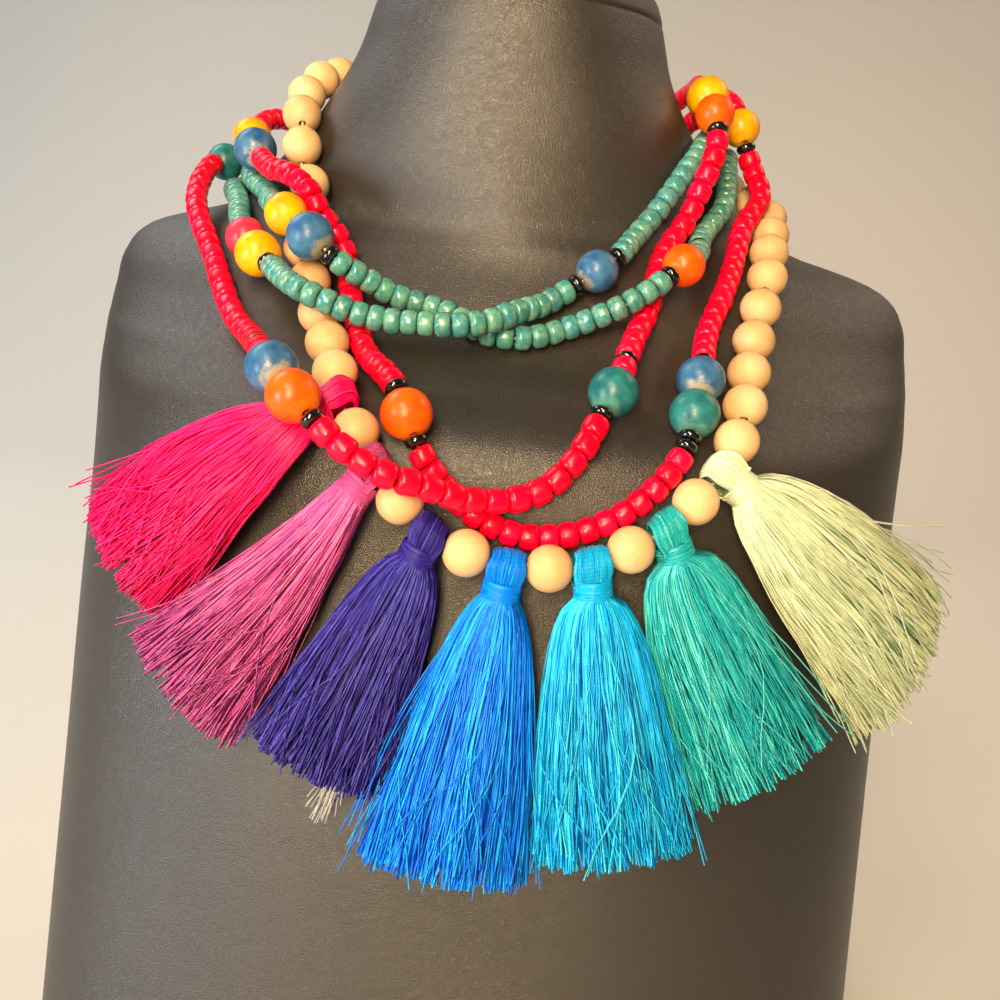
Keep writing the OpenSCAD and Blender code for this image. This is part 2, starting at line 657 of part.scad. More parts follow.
neck_bust();
necklace_clasp();
wood_bead_string();
wood_thread();
red_bead_string_1();
red_thread_1();
red_string_2();
turquoise_string_1();
turquoise_string_2();
black_spacers();
bead_of(RED_1, 0, "teal");  // red_1_teal_bead_left
bead_of(RED_1, 1, "royalblue");  // red_1_blue_bead
bead_of(RED_1, 2, "orange");  // red_1_orange_bead_left
bead_of(RED_1, 3, "teal");  // red_1_teal_bead_right
bead_of(RED_1, 4, "orange");  // red_1_orange_bead_right
bead_of(RED_1, 5, "gold");  // red_1_yellow_bead
bead_of(RED_2, 0, "gold");  // red_2_yellow_bead_left
bead_of(RED_2, 1, "royalblue");  // red_2_blue_bead_left
bead_of(RED_2, 2, "orange");  // red_2_orange_bead
bead_of(RED_2, 3, "teal");  // red_2_teal_bead
bead_of(RED_2, 4, "royalblue");  // red_2_blue_bead_right
bead_of(RED_2, 5, "gold");  // red_2_yellow_bead_right
bead_of(TURQUOISE_1, 0, "hotpink");  // turquoise_1_pink_bead
bead_of(TURQUOISE_1, 1, "gold");  // turquoise_1_yellow_bead
bead_of(TURQUOISE_1, 2, "royalblue");  // turquoise_1_blue_bead
bead_of(TURQUOISE_2, 0, "gold");  // turquoise_2_yellow_bead
bead_of(TURQUOISE_2, 1, "royalblue");  // turquoise_2_blue_bead
bead_of(TURQUOISE_2, 2, "orange");  // turquoise_2_orange_bead
tassel_pink();
tassel_mauve();
tassel_navy();
tassel_azure();
tassel_blue();
tassel_teal();
tassel_mint();
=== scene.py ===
"""The tassel necklace on its neck bust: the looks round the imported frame.

Shapes are worked out in millimetres, as in the part's source, and scaled to metres when a mesh is made.
"""

import math

import bpy
import numpy as np
from mathutils import Matrix, Vector


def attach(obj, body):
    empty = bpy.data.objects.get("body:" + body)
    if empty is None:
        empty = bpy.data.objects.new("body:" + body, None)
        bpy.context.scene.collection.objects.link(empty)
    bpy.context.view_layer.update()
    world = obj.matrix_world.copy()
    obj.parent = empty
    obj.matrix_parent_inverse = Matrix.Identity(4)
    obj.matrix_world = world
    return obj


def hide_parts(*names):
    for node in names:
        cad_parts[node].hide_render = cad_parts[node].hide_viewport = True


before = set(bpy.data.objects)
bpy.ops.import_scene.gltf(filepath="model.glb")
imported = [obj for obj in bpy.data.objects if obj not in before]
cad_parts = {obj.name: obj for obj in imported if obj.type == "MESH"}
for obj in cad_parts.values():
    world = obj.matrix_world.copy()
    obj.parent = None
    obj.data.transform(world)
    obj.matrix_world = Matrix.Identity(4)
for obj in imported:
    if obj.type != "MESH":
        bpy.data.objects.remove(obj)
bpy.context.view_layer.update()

MM = 0.001

# Sizes of the part, as in its source
BUST_H, SHOULDER_H = 430, 290
CHEST_W, CHEST_FRONT, CHEST_BACK, CHEST_LEAN = 326, 118, 86, 86
NECK_D, NECK_ASIDE, NECK_Y = 114, 8, 52.8
RIM_R = 4
WOOD_D, WOOD_THREAD_D = 14.8, 1.4
PONY_D, PONY_L, PONY_THREAD_D = 8.6, 6.2, 1.2
LARGE_D, SMALL_D = 16.5, 15
SPACER_L, SPACER_ROOM = 3, 0.5
TASSEL_L, HEAD_D, HEAD_L = 93, 12, 10.4
BAND_H, BAND_W = 6, 11.8
HEM_W, HEM_T = 50, 26
CLASP_W = 10
BORE_GAP, BEAD_GAP, CLASP_GAP, SKIN_GAP = 0.6, 0.4, 0.8, 0.4
CURVE_STEPS, SOFT, SLACK, THREAD_END = 5, 0.1, 1.05, 0.5

# Sizes that only the looks have: spacers and gaps as shown, edges and pitches of the beads
SHOWN_SPACER_D, SHOWN_SPACER_L, SHOWN_GAP = 7.7, 3.5, 0.08
BORE_EDGE, RED_EDGE, TURQUOISE_EDGE, SPACER_EDGE = 0.5, 1.7, 1.9, 1.7
RED_2_PITCH, TURQUOISE_PITCH = 6.3, 5.7
# The cords' plies: length of a full twist, distance between points, shares of the cord's diameter
PLIES, PLY_TWIST, CORD_STEP, PLY_OUT, PLY_R = 3, 9, 2.2, 0.24, 0.26
# The tassels' threads: counts, points along each, and radii
SKIRT_THREADS, STRAY_THREADS, HEAD_LOOPS, LOCKS, BAND_TURNS = 880, 46, 150, 44, 12
THREAD_STEPS = 12
SKIRT_R, BAND_R, STRAY_R, TUFT_R = 0.38, 0.36, 0.27, 0.2

# Sections of the bust. Columns: level, width, lean, front, back, roundness, aside
LEVEL, WIDTH, LEAN, FRONT, BACK, ROUND, ASIDE = range(7)
BUST_SECTIONS = np.array([
    [0, 0.99, 1, 0.54, 1, 2.4, 0],
    [0.41, 0.98, 0.65, 0.67, 0.93, 2.4, 0],
    [0.69, 0.97, 0.41, 0.82, 0.79, 2.4, 0],
    [0.83, 0.97, 0.28, 0.92, 0.66, 2.3, 0],
    [0.9, 0.98, 0.21, 1, 0.52, 2.2, 0],
    [0.945, 0.99, 0.17, 0.97, 0.45, 2.15, 0],
    [1, 1, 0.13, 0.66, 0.34, 2.1, 0],
    [1.09, 1, 0.08, 0.41, 0.24, 2, 0],
    [1.19, 0.98, 0.05, 0.26, 0.17, 1.8, 0],
    [1.24, 0.94, 0.03, 0.2, 0.14, 1.65, 0],
    [1.28, 0.86, 0.02, 0.16, 0.1, 1.5, 0],
    [1.31, 0.74, 0.01, 0.15, 0.1, 1.4, 0],
    [1.34, 0.59, 0, 0.13, 0.1, 1.38, 0.25],
    [1.37, 0.49, 0, 0.11, 0.1, 1.42, 0.5],
    [1.43, 0.41, 0, 0.1, 0.1, 1.5, 0.75],
    [1.5, 0.31, 0, 0.08, 0.1, 1.7, 1],
    [1.57, 0.23, 0, 0.07, 0.1, 1.85, 1],
    [1.66, 0.145, 0, 0.05, 0.1, 2, 1],
    [1.79, 0.05, 0, 0.03, 0.07, 2, 1],
    [1.91, 0, 0, 0, 0, 2, 1],
    [2, -0.04, 0, -0.07, -0.14, 2, 1],
])

# Routes of the strings. Columns: angle from the front, height over the shoulder line, lift
ROUTES = {
    "wood": [
      (-170, 96, 0.5), (-150, 97, 0.5), (-111, 100, 0.5), (-95, 98, 0.5), (-79.5, 86, 0.5),
      (-68, 77, 0.5), (-63.5, 62, 1), (-59.5, 47, 1), (-53, 33, 0.5), (-47, 22.5, 0),
      (-40.5, 12, 0), (-34.5, 2.5, 0.5), (-28, -6, 1.5), (-22, -16, 2.5), (-16, -26.5, 3.5),
      (-12.5, -34, 4), (-8.5, -40, 5), (-3.5, -45.5, 5.5), (4, -49.5, 6), (12, -48, 6),
      (19, -43, 5.5), (24, -36, 4), (28, -30, 2), (35, -15.5, 0.5), (43, 0, 0), (53.5, 21, 0),
      (63.5, 38, 0.5), (74, 47.5, 0.5), (84, 56, 0.5), (92, 63.5, 0.5), (105, 71, 0.5),
      (118, 82.5, 0.5), (132, 92, 0.5), (150, 96, 0.5), (170, 96, 0.5)],
    "red_1": [
      (-165, 83, 2.5), (-150, 80.5, 6), (-138, 75, 9.5), (-118, 62.5, 13.5), (-101, 52, 13.5),
      (-89, 48, 12), (-79, 41, 5.5), (-65.5, 26.5, 0.5), (-52, 6, 1), (-45, 0, 4),
      (-34.5, -11.5, 16), (-27, -17.5, 23.5), (-20, -22.5, 22), (-14, -27.5, 19.5),
      (-9, -29.5, 15), (-4, -31, 9.5), (2, -31, 4.5), (7.5, -27.5, 0.5), (11.5, -20, 0.5),
      (16, -10.5, 2.5), (20.5, -2.5, 5.5), (26.5, 9, 3.5), (33.5, 23, 0.5), (40.5, 37.5, 0),
      (46.5, 45, 0.5), (53, 50, 2.5), (61, 67.5, 6.5), (65, 81, 10.5), (69, 91, 9.5),
      (76.5, 98.5, 7.5), (85, 103, 6), (94, 106, 7), (103, 106.5, 11.5), (112, 104.5, 15.5),
      (121, 101, 17), (131, 96.5, 17), (141, 91, 15), (152, 86, 8), (165, 83, 2.5)],
    "red_2": [
      (-165, 73, 2.5), (-140, 73, 0), (-128, 73.5, 1), (-112, 74.5, 8), (-102, 74, 13.5),
      (-95, 71.5, 13.5), (-90, 68, 10.5), (-83, 65, 9), (-73.5, 62, 9.5), (-65.5, 60, 16),
      (-59, 60.5, 19.5), (-52, 38, 17.5), (-49, 35, 13.5), (-46, 34, 7), (-42, 29, 1.5),
      (-37.5, 19, 0), (-31.5, 8, 0), (-24.5, -0.5, 2), (-19, -6.5, 4.5), (-13.5, -14.5, 5.5),
      (-10, -22.5, 4), (-6, -30.5, 1), (-1, -37, 0), (5, -41, 0), (11, -40, 0), (17, -35.5, 0),
      (22.5, -27, 1.5), (27, -17.5, 3), (31.5, -7.5, 5), (36.5, 1.5, 4.5), (44.5, 18, 0.5),
      (52, 31, 0), (61, 42.5, 0), (70.5, 51, 4.5), (80, 62.5, 8.5), (83.5, 71.5, 10),
      (84, 79.5, 12), (85.5, 86.5, 14), (90, 92.5, 16), (97, 97, 17), (107, 96, 17),
      (118, 92, 17), (129, 86.5, 15.5), (138, 81, 9.5), (147, 76, 2.5), (165, 73, 2.5)],
    "turquoise_1": [
      (-165, 63, 2.5), (-146, 61.5, 7), (-131, 57, 10), (-117, 51.5, 8), (-104, 49.5, 2.5),
      (-92, 50, 0.5), (-84, 48.5, 0.5), (-77, 45, 0.5), (-70, 39.5, 0.5), (-62, 31, 3.5),
      (-56, 24.5, 7), (-49.5, 18, 12.5), (-44.5, 11, 16), (-39.5, 6, 18), (-35, 4, 16.5),
      (-30.5, 4, 13), (-26, 4.5, 10.5), (-17, 5, 10), (-9, 6, 10), (-3, 9.5, 9.5), (2, 15, 7.5),
      (8, 21.5, 2), (16, 27.5, 3), (24, 33.5, 5), (30.5, 40.5, 3), (38.5, 47.5, 0),
      (47.5, 57.5, 0), (56, 68.5, 0), (67, 81, 0), (80.5, 87.5, 0.5), (92, 88.5, 5),
      (100, 88, 11), (108, 86, 16), (117, 82, 17), (126, 77.5, 14), (134, 73, 7), (143, 68, 1),
      (165, 63, 2.5)],
    "turquoise_2": [
      (-165, 53, 4), (-148, 54, 0.5), (-131, 57.5, 0.5), (-115, 60, 0.5), (-100, 60, 0.5),
      (-89, 59, 0.5), (-82, 55.5, 0.5), (-74.5, 50, 1), (-66.5, 42.5, 5.5), (-59, 36, 14.5),
      (-53, 31.5, 18), (-47, 26, 20.5), (-42.5, 23.5, 19), (-38.5, 21, 15), (-34, 20.5, 9),
      (-29, 19.5, 3), (-22.5, 19, 0), (-14, 16.5, 0), (-6, 11.5, 0), (0.5, 10.5, 0),
      (7.5, 12, 0), (14.5, 15.5, 0.5), (21, 18, 4), (27.5, 21, 8.5), (35, 26, 11.5),
      (42, 32.5, 11.5), (48, 38, 7.5), (54.5, 45, 2), (62, 51.5, 0.5), (70.5, 61.5, 0.5),
      (80.5, 71.5, 0), (89, 77, 2.5), (97, 78, 8.5), (104, 77, 14.5), (111, 75, 17),
      (118, 72, 15.5), (125, 68, 8), (132, 64.5, 1.5), (148, 56, 0), (165, 53, 2.5)],
}
# Heights over the shoulder line at which the strings enter the clasp
CLASP_HEIGHTS = {"wood": 96, "red_1": 83, "red_2": 73, "turquoise_1": 63, "turquoise_2": 53}

# Beads other than the plain ones. Columns: share of the string's length, kinds in order
T, W, B, P, L, S = "tassel", "wood", "black", "pony", "large", "small"
GROUPS = {
    "wood": [(0.497, [T, W] * 6 + [T])],
    "red_1": [(0.19, [S]), (0.411, [B, P, P, L, L, B]), (0.606, [B, L, P, B]), (0.793, [B, S, L])],
    "red_2": [(0.2, [S, L]), (0.427, [B, L, B]), (0.608, [B, B, L, L, B]), (0.802, [B, S])],
    "turquoise_1": [(0.345, [S, L, B]), (0.598, [B, S, B])],
    "turquoise_2": [(0.366, [S, L, B]), (0.631, [B, S, P, P, B])],
}
KIND_L = {W: WOOD_D, T: HEAD_L, L: LARGE_D, S: SMALL_D, B: SPACER_L + SPACER_ROOM, P: PONY_L}

# Painted beads in stringing order. A node's name is the string's, then the bead's
PAINTED = {
    "red_1": ["teal_bead_left", "blue_bead", "orange_bead_left", "teal_bead_right",
              "orange_bead_right", "yellow_bead"],
    "red_2": ["yellow_bead_left", "blue_bead_left", "orange_bead", "teal_bead", "blue_bead_right",
              "yellow_bead_right"],
    "turquoise_1": ["pink_bead", "yellow_bead", "blue_bead"],
    "turquoise_2": ["yellow_bead", "blue_bead", "orange_bead"],
}

# Tassels from left to right. Columns: name, hem's angle, height over the shoulder line, gap of its
# middle off the bust, share of the length, of the hem's width and of its thickness, power by which
# the skirt widens, rise of the middle line
TASSELS = [
    ("pink", -51.4, -69.5, 14, 1.01, 0.97, 0.9, 0.5, 3),
    ("mauve", -40.9, -102.5, 15.5, 1.03, 1.02, 1.0, 1, -1),
    ("navy", -22.2, -119, 15, 0.89, 0.88, 1.0, 0.5, 0),
    ("azure", -2, -150, 16, 1.05, 1.10, 1.1, 0.6, 0),
    ("blue", 23.5, -140, 16, 0.99, 1.05, 1.1, 0.45, 0),
    ("teal", 43.4, -114, 15, 0.93, 1.05, 1.0, 0.4, 0),
    ("mint", 63.3, -84, 15, 1.13, 1.31, 0.9, 0.55, 4),
]
# Thickness of a skirt. Columns: share of its length, share of the way from the band's to the hem's
SKIRT_ROWS = [(0, 0), (0.12, 0), (0.22, 0.05), (0.4, 0.25), (0.6, 0.55), (0.8, 0.82), (1, 1)]
# Half outline of a head, from over the string down into the band. Columns: forward, down
HEAD_HALF = [(0, -5.6), (2.2, -5.2), (4, -3.9), (5.2, -2), (5.6, 0), (5.5, 2), (5.1, 3.9), (4.7, 5.2),
             (4.7, 6.4)]
# Long loose threads of each tassel, by the side of the skirt that they leave: -1 left in the photo, 1
# right. Columns: shares of the skirt's length where it starts and ends, distance off that side at its
# end, bow, and distance forward at its end
FLYAWAYS = {
    "pink": (-1, [(0.2, 0.93, -7, 0.5, 2), (0.3, 1.01, -4.5, -1, 3), (0.25, 0.97, -2.5, 1, 1),
                  (0.4, 1.04, -5.5, 1, 4)]),
    "mauve": (-1, [(0.3, 1.03, -3, 1, 2), (0.3, 1.0, -5, 1, 3)]),
    "navy": (-1, [(0.2, 1.03, -4, -1, 2), (0.3, 1.06, -2, 1, 3)]),
    "azure": (-1, [(0.02, 0.88, -5, -4.5, 3), (0.05, 0.97, -2, -5, 5), (0.1, 0.92, -6.5, -2.5, 2),
                   (0.2, 1.05, -3, -1, 4)]),
    "blue": (1, [(0.3, 1.04, 2.5, 1, 3), (0.45, 1.06, 1, 2, 3)]),
    "teal": (1, [(0.2, 0.8, 3.5, 2, 3), (0.4, 1.05, 3.5, -1, 4), (0.35, 0.95, 4, 1, 5)]),
    "mint": (1, [(0.22, 0.78, 15, -2, 2), (0.25, 0.76, 13.5, -1.5, 3), (0.4, 0.9, 9.5, 0, 1),
                 (0.32, 0.94, 6.5, 2.5, 4), (0.5, 1.02, 7.5, -1, 2), (0.6, 1.1, 2.5, 1, 2),
                 (0.6, 1.12, -4, 1, 3), (0.5, 1.08, -9, 0, 2)]),
}

WOOD_R, PONY_R = WOOD_D / 2, PONY_D / 2
WOOD_BORE_D = WOOD_THREAD_D + 2 * BORE_GAP
PONY_BORE_D = PONY_THREAD_D + 2 * BORE_GAP


# The bust's skin, as in the source

def slopes(points, gaps, first, last):
    """Slopes of the smooth curve through points that lie gaps apart, with given end slopes."""
    steps = np.diff(points, axis=0) / gaps[:, None]
    before, after = gaps[:-1, None], gaps[1:, None]
    return np.vstack([first, (steps[:-1] * after + steps[1:] * before) / (before + after), last])


def hermite(a, b, slope_a, slope_b, length, t):
    return ((2 * t**3 - 3 * t**2 + 1) * a + (t**3 - 2 * t**2 + t) * length * slope_a
            + (3 * t**2 - 2 * t**3) * b + (t**3 - t**2) * length * slope_b)


LEVELS = BUST_SECTIONS[:, LEVEL]
SPANS = np.diff(LEVELS)
ROW_SLOPES = slopes(BUST_SECTIONS, SPANS, (BUST_SECTIONS[1] - BUST_SECTIONS[0]) / SPANS[0],
                    (BUST_SECTIONS[-1] - BUST_SECTIONS[-2]) / SPANS[-1])


def section_at(z):
    """Rows of the bust's sections at heights z."""
    z = np.asarray(z, float)
    level = np.where(z < SHOULDER_H, z / SHOULDER_H, 1 + (z - SHOULDER_H) / (BUST_H - SHOULDER_H))
    i = np.clip(np.searchsorted(LEVELS, level, side="left") - 1, 0, len(LEVELS) - 2)
    t = (level - LEVELS[i]) / SPANS[i]
    return hermite(BUST_SECTIONS[i], BUST_SECTIONS[i + 1], ROW_SLOPES[i], ROW_SLOPES[i + 1],
                   SPANS[i][..., None], t[..., None])


def soft_power(x, n):
    return ((x * x + SOFT**2) ** (n / 2) - SOFT**n) / ((1 + SOFT**2) ** (n / 2) - SOFT**n)


def skin_r(row, a):
    """The skin's distance from its section's middle at angle a, in degrees from the front."""
    half = NECK_D / 2
    s, c = np.sin(np.radians(a)), np.cos(np.radians(a))
    w = half + row[..., WIDTH] * (CHEST_W / 2 - half)
    d = half + np.where(c >= 0, row[..., FRONT] * (CHEST_FRONT - half),
                        row[..., BACK] * (CHEST_BACK - half))
    n = row[..., ROUND]
    return (soft_power(s, n) / w**n + soft_power(c, n) / d**n) ** (-1 / n)


def section_middle(row):
    return np.stack([-row[..., ASIDE] * NECK_ASIDE, NECK_Y - row[..., LEAN] * CHEST_LEAN,
                     np.zeros(row.shape[:-1])], -1)


def skin_at(a, z, push=0):
    """Points at angles a and heights z, pushed off the skin."""
    a, z, push = np.broadcast_arrays(a, z, push)
    row = section_at(z)
    r = skin_r(row, a) + push
    return section_middle(row) + np.stack([r * np.sin(np.radians(a)), -r * np.cos(np.radians(a)), z], -1)


def place_of(p):
    """Angle, height and push of points in space."""
    row = section_at(p[..., 2])
    d = p - section_middle(row)
    a = np.degrees(np.arctan2(d[..., 0], -d[..., 1]))
    return a, p[..., 2], np.hypot(d[..., 0], d[..., 1]) - skin_r(row, a)


def unit(v):
    return v / np.linalg.norm(v, axis=-1, keepdims=True)


def square_to(v, along):
    """The unit direction nearest to v that is square to a unit direction."""
    return unit(v - (v * along).sum(-1, keepdims=True) * along)


def skin_out(a, z):
    """The direction straight out of the skin."""
    return unit(np.cross(skin_at(a + 0.5, z) - skin_at(a - 0.5, z),
                         skin_at(a, z + 0.5) - skin_at(a, z - 0.5)))


# The strings, as in the source

CLASP_X = -NECK_ASIDE
CLASP_Y = max(skin_at(180, SHOULDER_H + h)[1] for h in CLASP_HEIGHTS.values()) + SKIN_GAP + WOOD_R


def step_lengths(points):
    return np.linalg.norm(np.diff(points, axis=-2), axis=-1)


def string_curve(name, r):
    """Points of a string's curve, from the clasp round to the clasp."""
    ends = np.array([CLASP_X, CLASP_Y, SHOULDER_H + CLASP_HEIGHTS[name]])
    a, over, lift = np.transpose(ROUTES[name])
    z = SHOULDER_H + over
    points = np.vstack([ends, skin_at(a, z) + (r + SKIN_GAP + lift)[:, None] * skin_out(a, z), ends])
    gaps = step_lengths(points)
    ways = slopes(points, gaps, (-1, 0, 0), (-1, 0, 0))[:, None]
    t = np.arange(CURVE_STEPS)[:, None] / CURVE_STEPS
    curve = hermite(points[:-1, None], points[1:, None], ways[:-1], ways[1:], gaps[:, None, None], t)
    return np.vstack([curve.reshape(-1, 3), ends])


def divided(kind, start, end, count):
    """Beads of one kind that share a stretch of string. Each is its kind, start and end."""
    step = (end - start) / max(count, 1)
    return [(kind, start + k * step, start + (k + 1) * step) for k in range(count)]


class String:
    """A string's curve by length, and the beads on it."""

    def __init__(self, name):
        kind, r = (W, WOOD_R) if name == "wood" else (P, PONY_R)
        self.curve = string_curve(name, r)
        self.s = np.concatenate([[0], np.cumsum(step_lengths(self.curve))])
        self.length = self.s[-1]
        self.items = self.fill_out(GROUPS[name], kind)

    def at(self, s):
        return np.stack([np.interp(s, self.s, self.curve[:, axis]) for axis in range(3)], -1)

    def past(self, start, distance):
        """The place that lies a straight distance past another."""
        guess = start + distance
        for _ in range(6):
            guess = start + (guess - start) * distance / np.linalg.norm(self.at(guess) - self.at(start))
        return guess

    def fill_out(self, groups, kind):
        """The groups at their shares of the length, with plain beads between them."""
        placed = []
        for share, kinds in groups:
            start = share * self.length - sum(KIND_L[k] + BEAD_GAP for k in kinds) / 2
            items = []
            for k in kinds:
                end = self.past(start, KIND_L[k] + BEAD_GAP)
                items.append((k, start, end))
                start = end
            placed.append(items)
        edge = CLASP_W / 2 + CLASP_GAP
        out, start = [], edge
        for group in placed + [[]]:
            end = group[0][1] if group else self.length - edge
            room = (end - start) / (KIND_L[kind] + BEAD_GAP)
            out += divided(kind, start, end, math.floor(room / SLACK)) + group
            start = group[-1][2] if group else end
        return out

    def only(self, *kinds):
        return [item for item in self.items if item[0] in kinds]

    def finer(self, pitch):
        """The plain pony beads of the string's runs again, at a finer pitch than the source's."""
        runs = []
        for _, start, end in self.only(P):
            if runs and abs(runs[-1][1] - start) < 0.01:
                runs[-1][1] = end
            else:
                runs.append([start, end])
        return [item for start, end in runs for item in divided(P, start, end, round((end - start) / pitch))]

    def frame_of(self, item):
        """Middle of a bead and its unit axes: along the string, away from the neck, and across."""
        a, b = self.at(item[1]), self.at(item[2])
        middle = (a + b) / 2
        along = unit(b - a)
        u = square_to(np.array([middle[0] - CLASP_X, middle[1] - NECK_Y, 0]), along)
        return middle, along, u, np.cross(along, u)


STRINGS = {name: String(name) for name in ROUTES}


# Meshes

def mesh_object(name, points, faces, material, seeds=None, local=None):
    """A smooth mesh from points in millimetres and an array of quads. Points can have seeds, which are
    their bead's or thread's own number, and then places local to that bead or thread."""
    points, faces = np.asarray(points, float) * MM, np.asarray(faces, np.int32)
    mesh = bpy.data.meshes.new(name)
    mesh.vertices.add(len(points))
    mesh.vertices.foreach_set("co", points.astype(np.float32).ravel())
    sides = faces.shape[1]
    mesh.loops.add(faces.size)
    mesh.loops.foreach_set("vertex_index", faces.ravel())
    mesh.polygons.add(len(faces))
    mesh.polygons.foreach_set("loop_start", np.arange(0, faces.size, sides, dtype=np.int32))
    mesh.update(calc_edges=True)
    mesh.shade_smooth()
    if seeds is not None:
        data = mesh.attributes.new("seed", "FLOAT", "POINT").data
        data.foreach_set("value", np.asarray(seeds, np.float32).ravel())
        data = mesh.attributes.new("local", "FLOAT_VECTOR", "POINT").data
        data.foreach_set("vector", np.asarray(local, np.float32).ravel())
    mesh.materials.append(material)
    piece = bpy.data.objects.new(name, mesh)
    bpy.context.scene.collection.objects.link(piece)
    return piece


def dress(piece, node):
    """Puts a piece in the frame: it rides on the one body and stands for its CAD node."""
    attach(piece, "root")
    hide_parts(node)


def around(count):
    return 2 * np.pi * np.arange(count) / count


def grid_faces(rows, columns, closed=True, ring=False):
    """Quads between rows of points. Rows are closed unless said, and in a ring the last row meets the
    first."""
    i, k = np.meshgrid(np.arange(rows if ring else rows - 1),
                       np.arange(columns if closed else columns - 1), indexing="ij")
    i2, k2 = (i + 1) % rows, (k + 1) % columns
    corners = [i * columns + k, i * columns + k2, i2 * columns + k2, i2 * columns + k]
    return np.stack(corners, -1).reshape(-1, 4)


def turned_bead(profile, sides):
    """A bead turned round its bore, as points and quads. X and Y are across, and Z along the bore."""
    profile = np.array(profile)
    x, z = profile[:, :1], np.repeat(profile[:, 1:], sides, 1)
    points = np.stack([x * np.cos(around(sides)), x * np.sin(around(sides)), z], -1)
    return points.reshape(-1, 3), grid_faces(len(profile), sides, ring=True)


def ball_profile(d, bore, steps):
    """Half outline of a drilled ball with a softened bore edge. It closes through the bore."""
    r, b = d / 2, bore / 2
    end = math.asin((b + BORE_EDGE) / r)
    outline = [(r * math.sin(a), -r * math.cos(a)) for a in np.linspace(end, math.pi - end, steps)]
    low = outline[0][1]
    soft = [(b + BORE_EDGE * 0.35, low + BORE_EDGE * 0.05), (b, low + BORE_EDGE * 0.7)]
    return soft[::-1] + outline + [(x, -y) for x, y in soft]


def barrel_profile(d, l, edge, steps):
    """Half outline of a short bead with rounded ends. It closes through the bore."""
    r, h, b = d / 2, l / 2, PONY_BORE_D / 2
    low = [(r - edge + edge * math.cos(a), -h + edge + edge * math.sin(a))
           for a in np.radians(np.linspace(-90, 0, steps))]
    half = [(b, BORE_EDGE - h), (b + BORE_EDGE * 0.5, BORE_EDGE * 0.24 - h)] + low
    return half + [(x, -y) for x, y in half[::-1]]


def bead_string(name, string, items, shape, material, rng, sway=0.0, wobble=0.0, fill=None):
    """Many beads in one mesh. Each has its own seed and keeps its points in its own frame.
    fill is a plain length that is stretched to reach the neighbours."""
    base, faces = shape
    points, all_faces, seeds, local = [], [], [], []
    for number, item in enumerate(items):
        middle, along, u, v = string.frame_of(item)
        turn = rng.uniform(0, 2 * np.pi)
        tilt = rng.normal(0, sway, 2)
        grow = 1 - abs(rng.normal(0, wobble, 3))
        axis = unit(along + tilt[0] * u + tilt[1] * v)
        u = square_to(u, axis)
        v = np.cross(axis, u)
        room = np.linalg.norm(string.at(item[2]) - string.at(item[1]))
        p = base * np.array([grow[0], grow[0], grow[1] if fill is None else (room - SHOWN_GAP) / fill])
        c, s = np.cos(turn), np.sin(turn)
        x, y = p[:, 0] * c - p[:, 1] * s, p[:, 0] * s + p[:, 1] * c
        points.append(middle + x[:, None] * u + y[:, None] * v + p[:, 2:3] * axis)
        all_faces.append(faces + number * len(base))
        seeds.append(np.full(len(base), rng.random()))
        local.append(base)
    return mesh_object(name, np.vstack(points), np.vstack(all_faces), material,
                       np.concatenate(seeds), np.vstack(local))


def tubes(name, paths, radii, sides, material, seeds):
    """Many thin threads in one mesh. paths is (threads, points, 3), and radii one number or (threads,
    points). A point's local place is the length so far, the share round the thread and the share
    along it."""
    count, steps = paths.shape[:2]
    ahead = unit(np.gradient(paths, axis=1))
    u = np.empty_like(ahead)
    steep = np.abs(ahead[:, 0, 2:3]) > 0.8
    u[:, 0] = unit(np.cross(ahead[:, 0], np.where(steep, (0, 1.0, 0), (0, 0, 1.0))))
    for step in range(1, steps):
        u[:, step] = square_to(u[:, step - 1], ahead[:, step])
    v = np.cross(ahead, u)
    angles = around(sides)[:, None]
    ring = np.cos(angles) * u[..., None, :] + np.sin(angles) * v[..., None, :]
    points = paths[..., None, :] + np.broadcast_to(radii, (count, steps))[..., None, None] * ring
    offsets = (np.arange(count) * steps * sides)[:, None, None]
    faces = (grid_faces(steps, sides)[None] + offsets).reshape(-1, 4)
    run, turn = np.linspace(0, 1, steps)[:, None], np.arange(sides) / sides
    length = step_lengths(paths).sum(1)[:, None, None]
    local = np.stack(np.broadcast_arrays(run * length, turn, run), -1)
    return mesh_object(name, points.reshape(-1, 3), faces, material, np.repeat(seeds, steps * sides), local)


# Materials

def linear(colour):
    """Linear numbers of an sRGB colour."""
    shares = [c / 255 for c in bytes.fromhex(colour[1:])]
    return [c / 12.92 if c <= 0.04045 else ((c + 0.055) / 1.055) ** 2.4 for c in shares]


def rgba(colour):
    return (*(linear(colour) if isinstance(colour, str) else colour), 1)


